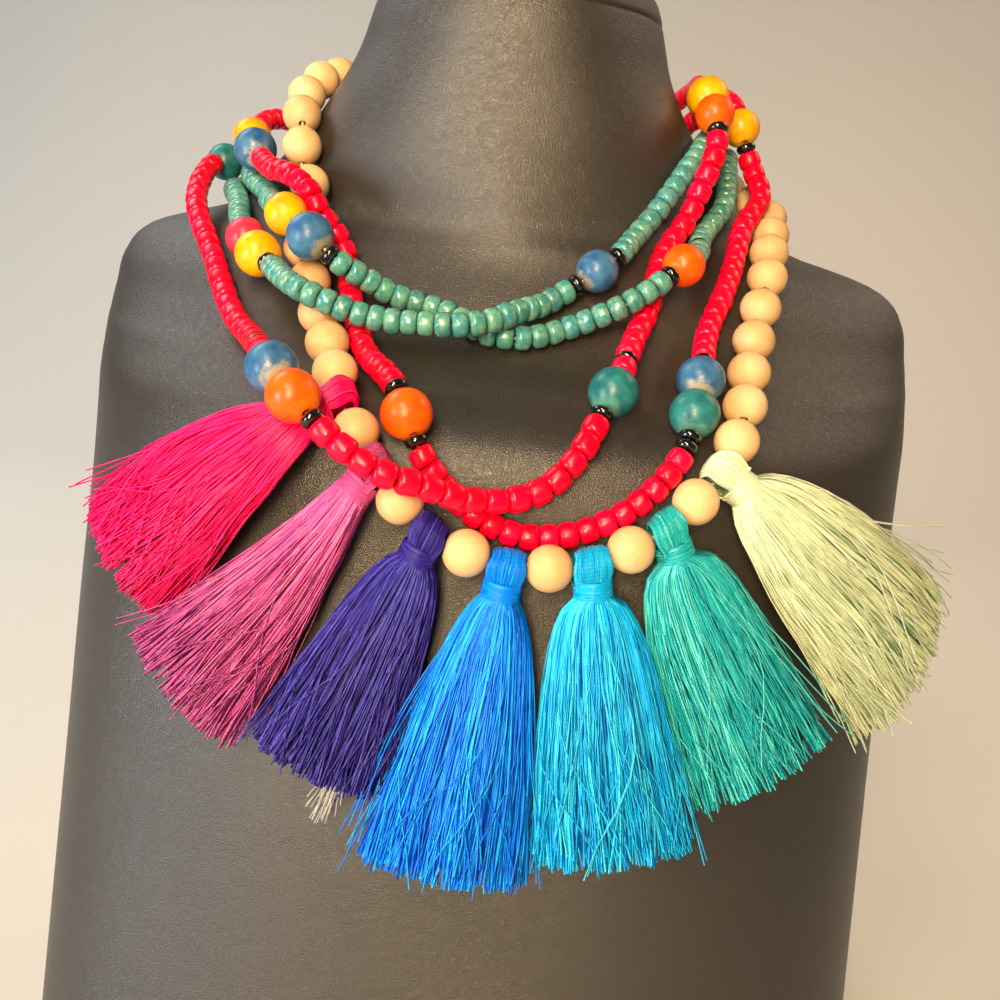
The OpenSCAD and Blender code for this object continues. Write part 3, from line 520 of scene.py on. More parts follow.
class Shader:
    """A small helper round a material's nodes. A value is a number, a vector, a colour or a node's
    output. A colour is a hex string in sRGB, or linear numbers."""

    def __init__(self, name, **values):
        self.material = bpy.data.materials.new(name)
        self.material.use_nodes = True
        self.tree = self.material.node_tree
        self.main = next(n for n in self.tree.nodes if n.type == "BSDF_PRINCIPLED")
        for key, value in values.items():
            self.main.inputs[key.replace("_", " ")].default_value = value

    def put(self, socket, value):
        if isinstance(value, bpy.types.NodeSocket):
            self.tree.links.new(value, socket)
        else:
            socket.default_value = rgba(value) if socket.type == "RGBA" else value

    def node(self, kind, output, inputs, **settings):
        """Adds a node and returns one of its outputs. inputs is {name or number: value}."""
        node = self.tree.nodes.new("ShaderNode" + kind)
        for key, setting in settings.items():
            setattr(node, key, setting)
        for key, value in inputs.items():
            self.put(node.inputs[key], value)
        return node.outputs[output]

    def place(self):
        return self.node("TexCoord", "Object", {})

    def local(self):
        return self.node("Attribute", "Vector", {}, attribute_name="local")

    def seed(self):
        return self.node("Attribute", "Fac", {}, attribute_name="seed")

    def part(self, vector, axis):
        return self.node("SeparateXYZ", axis, {0: vector})

    def noise(self, vector, scale, detail=3.0, rough=0.55, seed=None):
        inputs = {"Vector": vector, "Scale": scale, "Detail": detail, "Roughness": rough}
        if seed is None:
            return self.node("TexNoise", "Fac", inputs)
        return self.node("TexNoise", "Fac", {**inputs, "W": seed}, noise_dimensions="4D")

    def ramp(self, fac, stops):
        """A colour by a value. stops is [(place, colour)]."""
        output = self.node("ValToRGB", "Color", {"Fac": fac})
        elements = output.node.color_ramp.elements
        while len(elements) < len(stops):
            elements.new(0.5)
        for element, (place, colour) in zip(elements, stops):
            element.position = place
            element.color = rgba(colour)
        return output

    def span(self, value, low, high, to_low=0, to_high=1):
        return self.node("MapRange", "Result", {"Value": value, "From Min": low, "From Max": high,
                                                "To Min": to_low, "To Max": to_high})

    def math(self, kind, *values):
        return self.node("Math", 0, dict(enumerate(values)), operation=kind)

    def mix(self, fac, a, b):
        return self.node("Mix", 2, {0: fac, 6: a, 7: b}, data_type="RGBA")

    def stretch(self, vector, scale):
        return self.node("Mapping", "Vector", {"Vector": vector, "Scale": scale})

    def bump(self, height, strength, distance):
        return self.node("Bump", "Normal", {"Strength": strength, "Distance": distance, "Height": height})

    def done(self, colour, rough=None, normal=None):
        """Wires the last outputs and returns the material."""
        for name, value in (("Base Color", colour), ("Roughness", rough), ("Normal", normal)):
            if value is not None:
                self.put(self.main.inputs[name], value)
        return self.material


def leatherette():
    """Pebble-grained cover of the bust."""
    m = Shader("leatherette", Specular_IOR_Level=0.9)
    place = m.place()
    swirl = m.node("TexNoise", "Color", {"Vector": place, "Scale": 240})
    warped = m.node("VectorMath", 0, {0: swirl, 1: (0.0016, 0.0016, 0.0016), 2: place},
                    operation="MULTIPLY_ADD")
    cells = m.node("TexVoronoi", "Distance", {"Vector": m.stretch(warped, (1, 1, 1.35)), "Scale": 1250},
                   feature="DISTANCE_TO_EDGE")
    pebbles = m.span(cells, 0, 0.3)
    creases = m.noise(m.stretch(place, (1, 1, 1.6)), 820, 4, 0.62)
    height = m.math("ADD", m.math("MULTIPLY", pebbles, 0.8), m.math("MULTIPLY", creases, 1.3))
    base = m.ramp(m.span(m.noise(place, 9, 3), 0.3, 0.7), [(0, "#26211c"), (1, "#342c22")])
    gloss = m.math("ADD", creases, m.math("MULTIPLY", pebbles, 0.3))
    # The grooves between the pebbles are mixed towards near-black: painted shade in the grain's recesses.
    return m.done(m.mix(m.span(pebbles, 0, 1, 0.4, 0), base, "#181717"),
                  m.span(gloss, 0.3, 1, 0.46, 0.36), m.bump(height, 0.5, 0.0002))


def wood():
    """Plain turned wood: fine rings round the grain and short pores."""
    m = Shader("natural_wood", Roughness=0.5, Specular_IOR_Level=0.35, Subsurface_Weight=0.06,
               Subsurface_Scale=0.002, Subsurface_Radius=(1, 0.5, 0.25))
    seed, local = m.seed(), m.local()
    far = m.math("MULTIPLY", seed, 91)
    rings = m.node("TexWave", "Fac", {
        "Vector": m.stretch(local, (1, 1, 0.12)), "Scale": 0.42, "Distortion": 2.4, "Detail": 3,
        "Detail Scale": 0.6, "Phase Offset": far}, wave_type="BANDS", bands_direction="X")
    pores = m.noise(m.stretch(local, (2.6, 2.6, 0.28)), 1.6, 3, 0.6, seed=far)
    cloud = m.noise(local, 0.12, 2, seed=far)
    tone = m.ramp(seed, [(0, "#c89862"), (0.45, "#d8aa72"), (1, "#e4ba84")])
    grain = m.mix(m.span(rings, 0.2, 1, 0, 0.26), tone, "#cc9a60")
    grain = m.mix(m.span(pores, 0.54, 0.74, 0, 0.28), grain, "#b88652")
    return m.done(m.mix(m.span(cloud, 0.35, 0.75, 0, 0.3), grain, "#f8e4be"),
                  m.span(pores, 0.4, 0.7, 0.42, 0.6), m.bump(pores, 0.12, 0.0002))


def painted(name, colour, deep, worn_and_sheen, wear_and_sheen):
    """Stained and waxed wood, rubbed thin near the bore. On the blue beads the grey-brown rubbed tone is
    partly real rubbing and partly a painted reflection.
    """
    m = Shader("painted_" + name, Roughness=0.34, Specular_IOR_Level=0.32, Coat_Weight=0.08,
               Coat_Roughness=0.2)
    seed, local = m.math("MULTIPLY", m.seed(), 57), m.local()
    stain = m.noise(local, 0.16, 3, 0.6, seed=seed)
    grain = m.noise(m.stretch(local, (2.2, 2.2, 0.3)), 1.2, 3, 0.6, seed=seed)
    base = m.mix(m.span(stain, 0.35, 0.7), deep, colour)
    base = m.mix(m.span(grain, 0.5, 0.75, 0, 0.25), base, deep)
    near = m.span(m.math("ABSOLUTE", m.part(local, "Z")), 4.8, 7.8)
    # Rubbed tone near the bore ends and at random; on the blue beads it also stands in for a painted
    # reflection.
    rub_and_sheen = m.math("ADD", m.math("MULTIPLY", near, 0.5), m.noise(local, 0.33, 4, 0.7, seed=seed))
    return m.done(m.mix(m.span(rub_and_sheen, 0.72, 0.95, 0, wear_and_sheen), base, worn_and_sheen),
                  m.span(grain, 0.3, 0.7, 0.26, 0.42), m.bump(grain, 0.1, 0.0002))


def red_gloss():
    """Glossy, slightly clear red."""
    m = Shader("red_pony", Roughness=0.3, Specular_IOR_Level=0.28, Coat_Weight=0.08, Coat_Roughness=0.14,
               Subsurface_Weight=0.35, Subsurface_Scale=0.003, Subsurface_Radius=(1, 0.05, 0.12))
    seed = m.seed()
    tone = m.ramp(seed, [(0, "#ec0026"), (0.5, "#f80032"), (1, "#ff043e")])
    cloud = m.noise(m.local(), 0.35, 3, seed=m.math("MULTIPLY", seed, 31))
    return m.done(m.mix(m.span(cloud, 0.35, 0.75, 0, 0.45), tone, "#d60020"),
                  m.span(cloud, 0.3, 0.7, 0.2, 0.36), m.bump(cloud, 0.15, 0.0004))


def turquoise_glass():
    """Mottled green-blue glass. The golden-green patches, laid on at random, are a painted highlight."""
    m = Shader("turquoise_pony", Roughness=0.36, Metallic=0.12, Specular_IOR_Level=0.4, Coat_Weight=0.15,
               Coat_Roughness=0.2)
    seed, local = m.seed(), m.local()
    far = m.math("MULTIPLY", seed, 43)
    tone = m.ramp(seed, [(0, "#2a767a"), (0.35, "#449086"), (0.7, "#32888e"),
                         (1, "#589e8a")])
    mottle_and_glint = m.noise(local, 0.42, 4, 0.65, seed=far)
    flecks = m.noise(local, 1.5, 3, 0.6, seed=far)
    # Golden-green patches mixed in by the mottle: painted highlight.
    base = m.mix(m.span(mottle_and_glint, 0.42, 0.68, 0, 0.5), tone, "#9eb884")
    return m.done(m.mix(m.span(flecks, 0.58, 0.74, 0, 0.5), base, "#1e6064"),
                  m.span(mottle_and_glint, 0.3, 0.7, 0.18, 0.34), m.bump(flecks, 0.1, 0.0002))


def black_gloss():
    m = Shader("black_gloss", Roughness=0.12, Specular_IOR_Level=0.6, Coat_Weight=0.6, Coat_Roughness=0.06)
    dust = m.noise(m.local(), 0.9, 3, seed=m.seed())
    return m.done(m.ramp(dust, [(0.4, "#0a0a0b"), (0.8, "#1e1d1d")]),
                  m.span(dust, 0.4, 0.8, 0.08, 0.2))


def silk(name, colour, deep, glint, spread=0.25, tip=0):
    """Twisted silky thread: each thread has its own tone, and streaks and a fine twist run along it. The
    tone runs from the deep tone to the glint, partly at random and partly as painted shade and painted
    highlight; the deep streaks are painted shade, the glint streaks painted highlight, and the twist's
    grooves are darkened as painted shade. spread is how strong the deep streaks are, and tip how much deeper
    the thread's end is."""
    m = Shader(name, Roughness=0.38, Specular_IOR_Level=0.26)
    seed, local = m.seed(), m.local()
    # Each thread's tone from the deep tone to the glint: partly random, partly painted shade and painted
    # highlight.
    tone = m.ramp(seed, [(0, deep), (0.3, colour), (0.7, colour), (1, glint)])
    along = m.math("ADD", m.math("MULTIPLY", m.part(local, "X"), 0.9), m.part(local, "Y"))
    twist = m.math("SINE", m.math("MULTIPLY", along, 2 * math.pi))
    shade_and_glint_streak = m.noise(m.stretch(local, (0.16, 0, 0)), 1, 2, seed=m.math("MULTIPLY", seed, 97))
    # Deep streaks are painted shade and glint streaks painted highlight along each thread.
    tone = m.mix(m.span(shade_and_glint_streak, 0.5, 0.3, 0, spread), tone, deep)
    tone = m.mix(m.span(shade_and_glint_streak, 0.5, 0.7, 0, 0.6), tone, glint)
    tone = m.mix(m.span(m.part(local, "Z"), 0.35, 1, 0, tip), tone, deep)
    # The twist's grooves are darkened towards the deep tone: painted shade.
    return m.done(m.mix(m.span(twist, -1, 1, 0, 0.3), tone, deep), m.span(twist, -1, 1, 0.3, 0.46))


def bare_thread(name, colour, deep):
    m = Shader(name, Roughness=0.75, Sheen_Weight=0.2)
    fibres = m.noise(m.stretch(m.local(), (0.5, 8, 0)), 2, 3)
    return m.done(m.mix(fibres, deep, colour), normal=m.bump(fibres, 0.4, 0.0002))


def clasp_metal():
    """Brushed nickel."""
    m = Shader("clasp_metal", Metallic=1, Roughness=0.3)
    lines = m.noise(m.stretch(m.place(), (40, 40, 2600)), 1, 3)
    spots = m.span(m.noise(m.place(), 300, 3), 0.5, 0.8, 0, 0.5)
    return m.done(m.mix(spots, "#c4c1bc", "#8c867e"),
                  m.span(lines, 0.3, 0.7, 0.24, 0.42), m.bump(lines, 0.12, 0.0001))


# The camera, pitched down and rolled as the photo's. The focal length is for a picture PHOTO_PX wide

PITCH, ROLL, FOCAL_PX, PHOTO_PX = math.radians(15), math.radians(5.7), 1070, 1000
CAMERA_AT = Vector((0.003, -0.459 + NECK_Y * MM, 0.345))


def build_camera():
    data = bpy.data.cameras.new("camera")
    data.sensor_width = 36
    data.lens = data.sensor_width * FOCAL_PX / PHOTO_PX
    data.clip_start = 0.01
    camera = bpy.data.objects.new("camera", data)
    camera.matrix_world = (Matrix.Translation(CAMERA_AT) @ Matrix.Rotation(math.pi / 2 - PITCH, 4, "X")
                           @ Matrix.Rotation(ROLL, 4, "Z"))
    bpy.context.scene.collection.objects.link(camera)
    bpy.context.scene.camera = camera


build_camera()


# The bust

def build_bust():
    """The covered bust: a fine skin with a rolled rim and the seam under it. A row is its height and
    how far it lies inside the skin."""
    sides = 192
    foot = [(0, 3), (0.25, 1.2), (1.2, 0.25), (3, 0)]
    seam_z, fine_from = BUST_H - 2.6 * RIM_R, 250
    body = [(z, 0) for z in (*np.arange(6, fine_from, 4), *np.arange(fine_from, seam_z - 8, 2.5))]
    seam = [(seam_z + up, inset) for up, inset in (
        (-1.6, 0), (-0.8, 0.1), (-0.35, 0.45), (0, 0.9), (0.35, 0.45), (0.8, 0), (2.2, -0.25), (3.8, -0.2))]
    roll = [(BUST_H - RIM_R + RIM_R * math.sin(a), RIM_R * (1 - math.cos(a)))
            for a in np.radians(np.linspace(0, 90, 9))]
    rings = [skin_at(np.degrees(around(sides)), z, -inset) for z, inset in foot + body + seam + roll]
    closing = (0.97, 0.9, 0.75, 0.5, 0.25, 0.004)
    base = [rings[0].mean(0) + (rings[0] - rings[0].mean(0)) * share for share in closing[::-1]]
    top = [rings[-1].mean(0) + (rings[-1] - rings[-1].mean(0)) * share for share in closing]
    faces = grid_faces(len(rings) + 2 * len(closing), sides)
    cover = mesh_object("bust_cover", np.vstack(base + rings + top), faces, leatherette())
    dress(cover, "neck_bust")


build_bust()


# The beads

# Columns: colour, deep tone, worn tone, how much is worn. The blue's grey-brown worn tone is partly real
# wear and partly a painted reflection.
PAINTS = {
    "teal": ("#328480", "#14565e", "#6ea08c", 0.4),
    "blue": ("#4c7c9c", "#225082", "#a0967c", 0.9),
    "orange": ("#fc6800", "#ec4c00", "#ff921e", 0.3),
    "yellow": ("#f6b600", "#e69200", "#ffd032", 0.3),
    "pink": ("#e23e50", "#c8223e", "#f07878", 0.4),
}
# Columns: string, its beads' node, its thread's node, pitch (0 keeps the source's beads)
PONY_STRINGS = [
    ("red_1", "red_bead_string_1", "red_thread_1", 0),
    ("red_2", "red_string_2", "red_string_2", RED_2_PITCH),
    ("turquoise_1", "turquoise_string_1", "turquoise_string_1", TURQUOISE_PITCH),
    ("turquoise_2", "turquoise_string_2", "turquoise_string_2", TURQUOISE_PITCH),
]

rng = np.random.default_rng(7)
wood_string = STRINGS["wood"]
wood_bead = turned_bead(ball_profile(WOOD_D, WOOD_BORE_D, 18), 32)
dress(bead_string("wood_beads", wood_string, wood_string.only(W), wood_bead, wood(), rng, wobble=0.006),
      "wood_bead_string")

PONY_LOOKS = {"red": (red_gloss(), RED_EDGE), "turquoise": (turquoise_glass(), TURQUOISE_EDGE)}
for name, node, _, pitch in PONY_STRINGS:
    family, number = name.split("_")
    string, (mat, edge) = STRINGS[name], PONY_LOOKS[family]
    shape = turned_bead(barrel_profile(PONY_D, PONY_L, edge, 4), 18)
    beads = string.finer(pitch) if pitch else string.only(P)
    dress(bead_string(f"{family}_beads_{number}", string, beads, shape, mat, rng, sway=0.04, wobble=0.03,
                      fill=PONY_L), node)

spacer = turned_bead(barrel_profile(SHOWN_SPACER_D, SHOWN_SPACER_L, SPACER_EDGE, 7), 28)
glossy = black_gloss()
for name in PAINTED:
    string = STRINGS[name]
    dress(bead_string("black_spacers_" + name, string, string.only(B), spacer, glossy, rng, wobble=0.02),
          "black_spacers")

paints = {name: painted(name, *row) for name, row in PAINTS.items()}
for name, beads in PAINTED.items():
    string = STRINGS[name]
    for bead, item in zip(beads, string.only(L, S)):
        node, colour = name + "_" + bead, bead.split("_")[0]
        shape = turned_bead(ball_profile(KIND_L[item[0]], PONY_BORE_D, 22), 36)
        dress(bead_string(node + "_skin", string, [item], shape, paints[colour], rng, wobble=0.004),
              node)


# The threads

def string_thread(name, string, d, material, node):
    """The thread through a string's beads: plies twisted together, each with its own seed."""
    s = np.linspace(THREAD_END, string.length - THREAD_END, round(string.length / CORD_STEP))
    centre = string.at(s)
    ahead = unit(np.gradient(centre, axis=0))
    u = square_to(np.stack([centre[:, 0] - CLASP_X, centre[:, 1] - NECK_Y, np.zeros(len(s))], -1), ahead)
    v = np.cross(ahead, u)
    turn = 2 * np.pi * (s / PLY_TWIST + np.arange(PLIES)[:, None] / PLIES)[..., None]
    paths = centre + d * PLY_OUT * (np.cos(turn) * u + np.sin(turn) * v)
    dress(tubes(name, paths, d * PLY_R, 4, material, np.array([0.2, 0.5, 0.8])), node)


cream = bare_thread("cream_thread", "#e4d6b8", "#aa9674")
red = bare_thread("red_thread", "#b01e28", "#600c14")
string_thread("wood_cord", wood_string, WOOD_THREAD_D, cream, "wood_thread")
for name, _, node, _ in PONY_STRINGS:
    family, number = name.split("_")
    mat, slot = (red, "red_thread") if family == "red" else (cream, "turquoise_pony")
    string_thread(f"{family}_cord_{number}", STRINGS[name], PONY_THREAD_D, mat, node)


# The tassels

class Tassel:
    """The form of one tassel: a middle line with a side and a front direction, and its half sizes.
    Distances down it start at the head's middle."""

    def __init__(self, index):
        self.name, angle, height, gap, length, width, thick, self.power, self.rise = TASSELS[index]
        middle, self.string_dir, _, _ = wood_string.frame_of(wood_string.only(T)[index])
        self.start = np.array(place_of(middle))
        self.end = np.array([angle, SHOULDER_H + height, gap])
        line = self.spine(np.linspace(0, 1, 13))
        self.spine_length = step_lengths(line).sum()
        self.neck = HEAD_D / 2 * 0.86
        self.band = self.neck + BAND_H
        self.length = TASSEL_L * length
        self.b, self.w, self.t = BAND_W / 2, HEM_W * width / 2, HEM_T * thick / 2

    def spine(self, t):
        p = self.start + (self.end - self.start) * t[..., None]
        return skin_at(p[..., 0], p[..., 1] + self.rise * 4 * t * (1 - t), p[..., 2])

    def frame_at(self, down):
        """Middle, down, side and front directions at distances down."""
        t = down / self.spine_length
        middle = self.spine(t)
        ahead = unit(self.spine(t + 0.02) - self.spine(t - 0.02))
        a, z, _ = place_of(middle)
        front = square_to(skin_out(a, z), ahead)
        return middle, ahead, np.cross(ahead, front), front

    def half(self, down):
        """Half width and half thickness of the skirt."""
        share = np.clip((down - self.band) / (self.length - self.band), 0, 1.1)
        thick = np.interp(share, *np.transpose(SKIRT_ROWS))
        return self.b + (self.w - self.b) * share**self.power, self.b + (self.t - self.b) * thick

    def point(self, down, side_share, front_share, side_mm=0.0, front_mm=0.0):
        """Points by their shares of the half sizes, and distances past those."""
        middle, _, side, front = self.frame_at(down)
        w, t = self.half(down)
        return (middle + (w * side_share + side_mm)[..., None] * side
                + (t * front_share + front_mm)[..., None] * front)

    def along_skirt(self, share):
        return self.band + (self.length - self.band) * share


def smooth_noise(rng, count, steps, knots):
    """Gentle random curves from -1 to 1, one for each thread."""
    values = rng.uniform(-1, 1, (count, knots))
    x = np.linspace(0, knots - 1, steps)
    i = np.minimum(x.astype(int), knots - 2)
    f = x - i
    f = f * f * (3 - 2 * f)
    return values[:, i] * (1 - f) + values[:, i + 1] * f


def half_turn(angle):
    """An angle brought to within half a turn of zero."""
    return (angle + np.pi) % (2 * np.pi) - np.pi


# How far down each point of a thread lies, as a share: nearer together under the band
DOWN = np.linspace(0, 1, THREAD_STEPS)[None, :] ** 1.35


def skirt(tassel, rng):
    """Paths, radii and seeds of the skirt's threads: mostly in the outer layers, and drawn together in
    locks towards the hem."""
    count, steps = SKIRT_THREADS, THREAD_STEPS
    angle = rng.uniform(0, 2 * np.pi, count)
    outer = rng.random(count) < 0.75
    layer = np.where(outer, rng.uniform(0.84, 1.0, count), np.sqrt(rng.uniform(0.05, 0.75, count)))
    t = DOWN
    reach = np.where(outer, 1.01 - 0.09 * rng.random(count) ** 2, rng.uniform(0.88, 0.99, count))
    down = tassel.band - 1.0 + (tassel.length - tassel.band + 1.0) * t * reach[:, None]
    half_lock = np.pi / LOCKS
    lock_angle = 2 * half_lock * np.arange(LOCKS) + rng.uniform(-0.5, 0.5, LOCKS) * half_lock
    nearest = np.argmin(np.abs(half_turn(angle[:, None] - lock_angle[None, :])), 1)
    pull = half_turn(lock_angle[nearest] - angle)[:, None]
    sway = (smooth_noise(rng, LOCKS, steps, 4) * 0.1)[nearest]
    drift = smooth_noise(rng, count, steps, 4) * 0.13 + rng.normal(0, 0.06, count)[:, None]
    grip = np.clip(t * 1.6, 0, 1) * rng.uniform(0.2, 0.75, count)[:, None]
    phi = angle[:, None] + pull * grip + (sway + drift) * t
    ridge = (rng.uniform(-0.09, 0.0, LOCKS))[nearest][:, None] * np.clip(t * 2, 0, 1)
    sink = -0.12 * np.clip(np.abs(pull) / half_lock - 0.35, 0, 1) * np.clip(t * 2, 0, 1)
    ripple = smooth_noise(rng, count, steps, 5) * 0.035 * np.clip(t * 3, 0, 1)
    rho = np.clip(layer[:, None] + ridge + sink + ripple, 0, 1.02)
    fray = np.clip((t - 0.8) / 0.2, 0, 1) ** 2
    side_mm, front_mm = (smooth_noise(rng, count, steps, 6) * wave * t
                         + rng.normal(0, frizz, count)[:, None] * fray
                         for wave, frizz in ((0.8, 0.9), (0.5, 0.5)))
    paths = tassel.point(down, rho * np.cos(phi), rho * np.sin(phi), side_mm, front_mm)
    radii = np.full((count, steps), SKIRT_R) * rng.uniform(0.85, 1.1, count)[:, None]
    radii[:, -1] *= 1.2
    # Threads of the inner layers get lower seeds and so deeper tones: painted shade inside the skirt.
    return paths, radii, np.clip(rng.normal(0.52, 0.27, count) - np.where(outer, 0, 0.25), 0, 1)


def core(tassel):
    """Points and quads of a core in the skirt and a pad in the head, which close the view between
    the threads. Both take a darkened deep tone: painted shade between the threads."""
    sides, levels = 32, 14
    turn = around(sides)[:, None]
    rows = np.concatenate([[tassel.neck - 1.2, tassel.neck, tassel.band - 0.5],
                           np.linspace(tassel.band + 3, tassel.length * 0.95, levels)])
    shares = [0.7, 0.9, 0.9] + levels * [0.72]
    body = [tassel.point(np.full(sides, d), f * np.cos(turn[:, 0]), f * np.sin(turn[:, 0]))
            for d, f in zip(rows, shares)]
    end = body[-1].mean(0)
    body += [end + (body[-1] - end) * share for share in (0.5, 0.02)]
    middle, ahead, _, front = tassel.frame_at(np.array(0.0))
    r, half = HEAD_D / 2 - 1.9, HEAD_L / 2 - 0.5
    pad = [middle + u * half * tassel.string_dir
           + r * (1 - 0.3 * abs(u) ** 3) * min(1, (1.02 - abs(u)) * 8)
           * (np.cos(turn) * front - np.sin(turn) * ahead) for u in np.linspace(-1, 1, 11)]
    faces = [grid_faces(len(body), sides), grid_faces(len(pad), sides) + len(body) * sides]
    return np.vstack(body + pad), np.vstack(faces)


def band(tassel):
    """Path of the thread that is wound round under the head."""
    per_turn = 28
    points = BAND_TURNS * per_turn + 1
    w = 2 * np.pi * np.arange(points) / per_turn
    middle, _, side, front = tassel.frame_at(np.linspace(tassel.neck - 0.1, tassel.band - 0.2, points))
    radius = tassel.b - 0.15 + 0.14 * np.sin(w * 0.37)
    return (middle + (radius * np.cos(w))[:, None] * side + (radius * np.sin(w))[:, None] * front)[None]


def head(tassel, rng):
    """Paths of the head's threads: up out of the band, folded over the string and back down. Some lie
    at the head's two ends."""
    at_ends = 40
    half = np.array(HEAD_HALF)
    fold = np.vstack([half[:0:-1], half * (-1, 1)])
    u = np.concatenate([rng.uniform(-1, 1, HEAD_LOOPS - at_ends),
                        rng.choice([-1, 1], at_ends) * rng.uniform(0.85, 1, at_ends)])
    shell = rng.uniform(0.86, 1.0, HEAD_LOOPS)[:, None] * (1 - 0.2 * np.abs(u) ** 3)[:, None]
    to_front = fold[:, 0] * shell
    to_band = np.where(fold[:, 1] < 0, fold[:, 1] * shell, fold[:, 1])
    bulge = np.sin(np.pi * np.clip((fold[:, 1] + 4) / 9, 0, 1))
    sideways = (u[:, None] * (HEAD_L / 2 - 0.4 + bulge)
                + smooth_noise(rng, HEAD_LOOPS, len(fold), 5) * 0.3)
    middle, ahead, _, front = tassel.frame_at(np.array(0.0))
    return (middle + sideways[..., None] * tassel.string_dir + to_front[..., None] * front
            + to_band[..., None] * ahead)


def strays(tassel, rng):
    """Paths of the threads that stand off the skirt, and of the long ones seen in the photo."""
    count, steps = STRAY_THREADS, THREAD_STEPS
    t = DOWN
    angle = rng.uniform(0, 2 * np.pi, count)
    lift = rng.uniform(0.0, 1.0, count) ** 2
    start_at = rng.uniform(0.1, 0.6, count)[:, None]
    down = tassel.along_skirt(t * rng.uniform(0.86, 1.03, count)[:, None])
    open_up = np.clip((t - start_at) / (1 - start_at), 0, 1) ** 1.5
    phi = angle[:, None] + smooth_noise(rng, count, steps, 3) * 0.9 * t
    rho = 1.0 + 0.2 * lift[:, None] * open_up
    side_mm, front_mm = (smooth_noise(rng, count, steps, 4) * wave * t for wave in (1.6, 0.8))
    paths = tassel.point(down, rho * np.cos(phi), rho * np.sin(phi), side_mm, front_mm)
    edge, rows = FLYAWAYS[tassel.name]
    far = [loose_thread(tassel, rng, edge, *row) for row in rows]
    return np.concatenate([paths, far])


def loose_thread(tassel, rng, edge, start, end, off, bow, front_mm):
    """A thread that leaves the skirt's side and ends away from it."""
    t = np.linspace(0, 1, THREAD_STEPS)
    down = tassel.along_skirt(start + (end - start) * t)
    side_mm = off * t**1.5 + bow * np.sin(np.pi * t) + smooth_noise(rng, 1, THREAD_STEPS, 4)[0] * 0.6 * t
    return tassel.point(down, -edge * (0.7 + 0.3 * t), 0.25, -side_mm, front_mm * t)


def build_tassel(index, colour, deep, glint):
    tassel = Tassel(index)
    name, slot = "tassel_" + tassel.name, "thread_" + tassel.name
    rng = np.random.default_rng(100 + index)
    loose = silk(slot, colour, deep, glint, tip=0.45 if tassel.name == "mauve" else 0)
    tight = silk(slot + "_band", colour, deep, glint, 0.1)
    # The core and pad material, 0.6 of the deep tone: painted shade between the threads.
    core_shade = silk(slot + "_core", deep, [c * 0.6 for c in linear(deep)], deep)

    def lay(part, *threads):
        dress(tubes(f"{name}_{part}", *threads), name)

    paths, radii, seeds = skirt(tassel, rng)
    lay("skirt", paths, radii, 3, loose, seeds)
    points, faces = core(tassel)
    dress(mesh_object(name + "_core", points, faces, core_shade, np.full(len(points), 0.1), points), name)
    lay("band", band(tassel), BAND_R, 6, tight, np.array([0.45]))
    paths = head(tassel, rng)
    lay("head", paths, SKIRT_R, 3, loose, np.clip(rng.normal(0.55, 0.2, HEAD_LOOPS), 0, 1))
    paths = strays(tassel, rng)
    lay("strays", paths, STRAY_R, 3, loose, rng.uniform(0.4, 1.0, len(paths)))


# Columns: colour, deep tone (also laid on as painted shade), glint (a painted highlight)
SILKS = {
    "pink": ("#f60062", "#a00038", "#ff3288"),
    "mauve": ("#cc4c8e", "#681a64", "#f682ac"),
    "navy": ("#281e80", "#0c0642", "#5a4eba"),
    "azure": ("#0080fa", "#0046be", "#14beff"),
    "blue": ("#00aae8", "#0064b4", "#46e2f5"),
    "teal": ("#18aab2", "#006474", "#6ee4dc"),
    "mint": ("#dce4be", "#78a87e", "#ffffee"),
}
for index, row in enumerate(TASSELS):
    build_tassel(index, *SILKS[row[0]])


def build_tuft():
    """The small pale tuft seen under the navy tassel's hem."""
    tassel = Tassel([row[0] for row in TASSELS].index("navy"))
    rng = np.random.default_rng(55)
    count, steps = 44, 6
    t = np.linspace(0, 1, steps)[None, :]
    down = tassel.length * (0.84 + 0.4 * t * rng.uniform(0.7, 1.0, count)[:, None])
    side_mm = rng.uniform(-1.2, 1.2, count)[:, None] + rng.normal(0, 2.2, count)[:, None] * t**1.5
    front_mm = rng.uniform(-1, 1, count)[:, None] + rng.normal(0, 0.8, count)[:, None] * t
    paths = tassel.point(down, -0.3, -0.4, side_mm, front_mm)
    pale = bare_thread("pale_thread", "#e2e2de", "#969696")
    dress(tubes("tassel_navy_tuft", paths, TUFT_R, 3, pale, rng.random(count)), "tassel_navy")


build_tuft()

# The clasp keeps its CAD shape
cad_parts["necklace_clasp"].data.materials.clear()
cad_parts["necklace_clasp"].data.materials.append(clasp_metal())


# The stage and the light

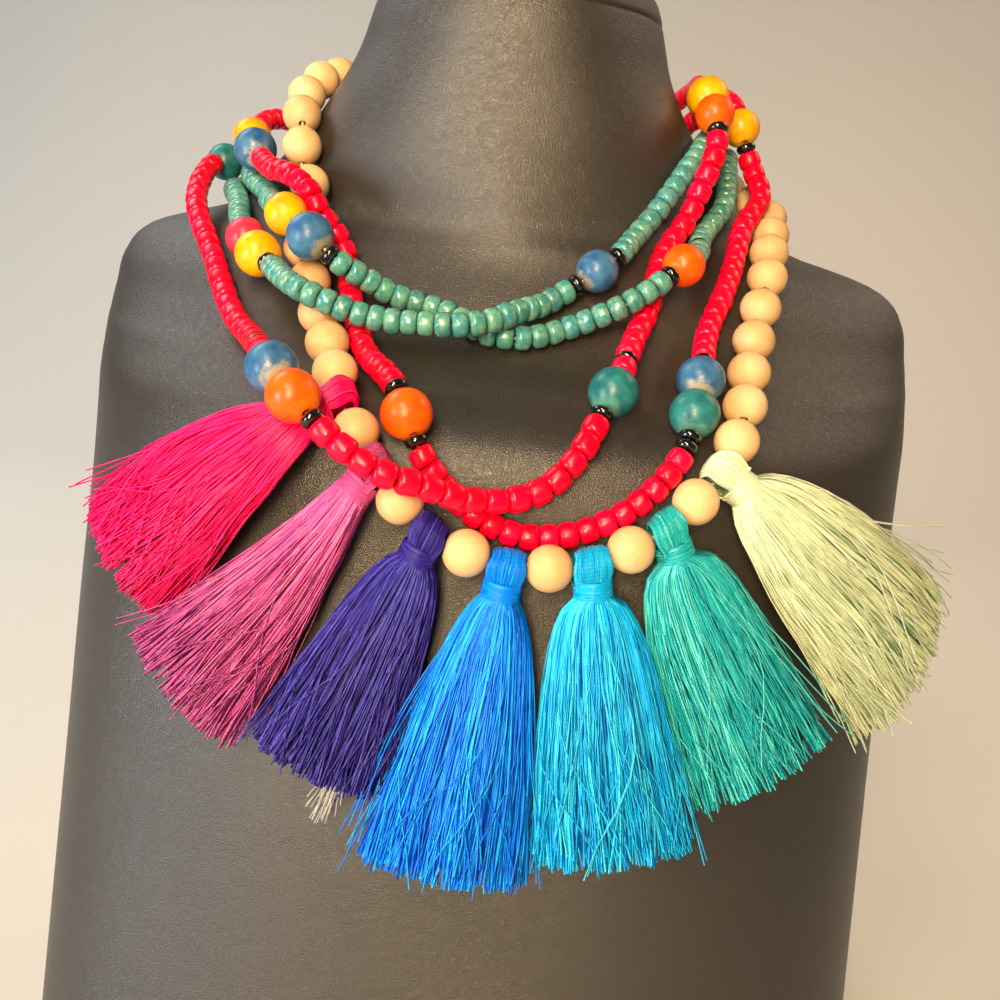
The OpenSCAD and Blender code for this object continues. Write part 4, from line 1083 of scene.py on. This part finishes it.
def build_stage():
    """A pale floor that sweeps up into a backdrop far behind. The profile is in metres."""
    m = Shader("stage", Roughness=0.9, Specular_IOR_Level=0.1)
    m.done(m.mix(m.noise(m.place(), 1.2, 2), "#ded9d0", "#e5e0d8"))
    sweep = 0.9
    curve = [(sweep + sweep * math.sin(a), sweep - sweep * math.cos(a))
             for a in np.radians(np.linspace(6, 90, 14))]
    profile = [(-3.0, 0.0), (sweep, 0.0)] + curve + [(2 * sweep, 4.0)]
    points = np.array([[x, y, z] for y, z in profile for x in (-4.0, 4.0)]) / MM
    mesh_object("floor", points, grid_faces(len(profile), 2, closed=False), m.material)


def area_light(name, at, aim, size, watts, colour, spread):
    data = bpy.data.lights.new(name, "AREA")
    data.shape = "RECTANGLE"
    data.size, data.size_y = size
    data.energy = watts
    data.color = colour
    data.spread = math.radians(spread)
    lamp = bpy.data.objects.new(name, data)
    lamp.location = at
    lamp.rotation_euler = (Vector(aim) - Vector(at)).to_track_quat("-Z", "Y").to_euler()
    bpy.context.scene.collection.objects.link(lamp)


build_stage()
# Columns: name, place, aim, size, watts, colour, spread in degrees
LIGHTS = [
    ("key", (-0.3, -0.7, 1.0), (0, -0.05, 0.3), (0.25, 0.25), 4.3, (1.0, 0.88, 0.7), 180),
    ("front", (-0.14, -1.0, 0.66), (0, 0, 0.34), (0.24, 0.7), 2.9, (1.0, 0.72, 0.4), 60),
    ("left", (-0.9, -0.75, 0.26), (-0.1, 0, 0.1), (0.3, 0.5), 9, (0.84, 0.93, 1.0), 180),
    ("floor_left", (-0.9, 0.5, 1.1), (-0.9, 0.9, 0), (0.8, 0.8), 10.5, (0.94, 0.98, 1.0), 180),
    ("floor_right", (1.0, 0.5, 1.1), (1.0, 0.9, 0), (0.8, 0.8), 8, (1.0, 0.8, 0.6), 180),
]
for light in LIGHTS:
    area_light(*light)
world = bpy.data.worlds.new("world")
bpy.context.scene.world = world
world.use_nodes = True
background = next(n for n in world.node_tree.nodes if n.type == "BACKGROUND")
background.inputs["Color"].default_value = (1.0, 0.95, 0.9, 1)
background.inputs["Strength"].default_value = 0.07
bpy.context.scene.view_settings.view_transform = "Standard"
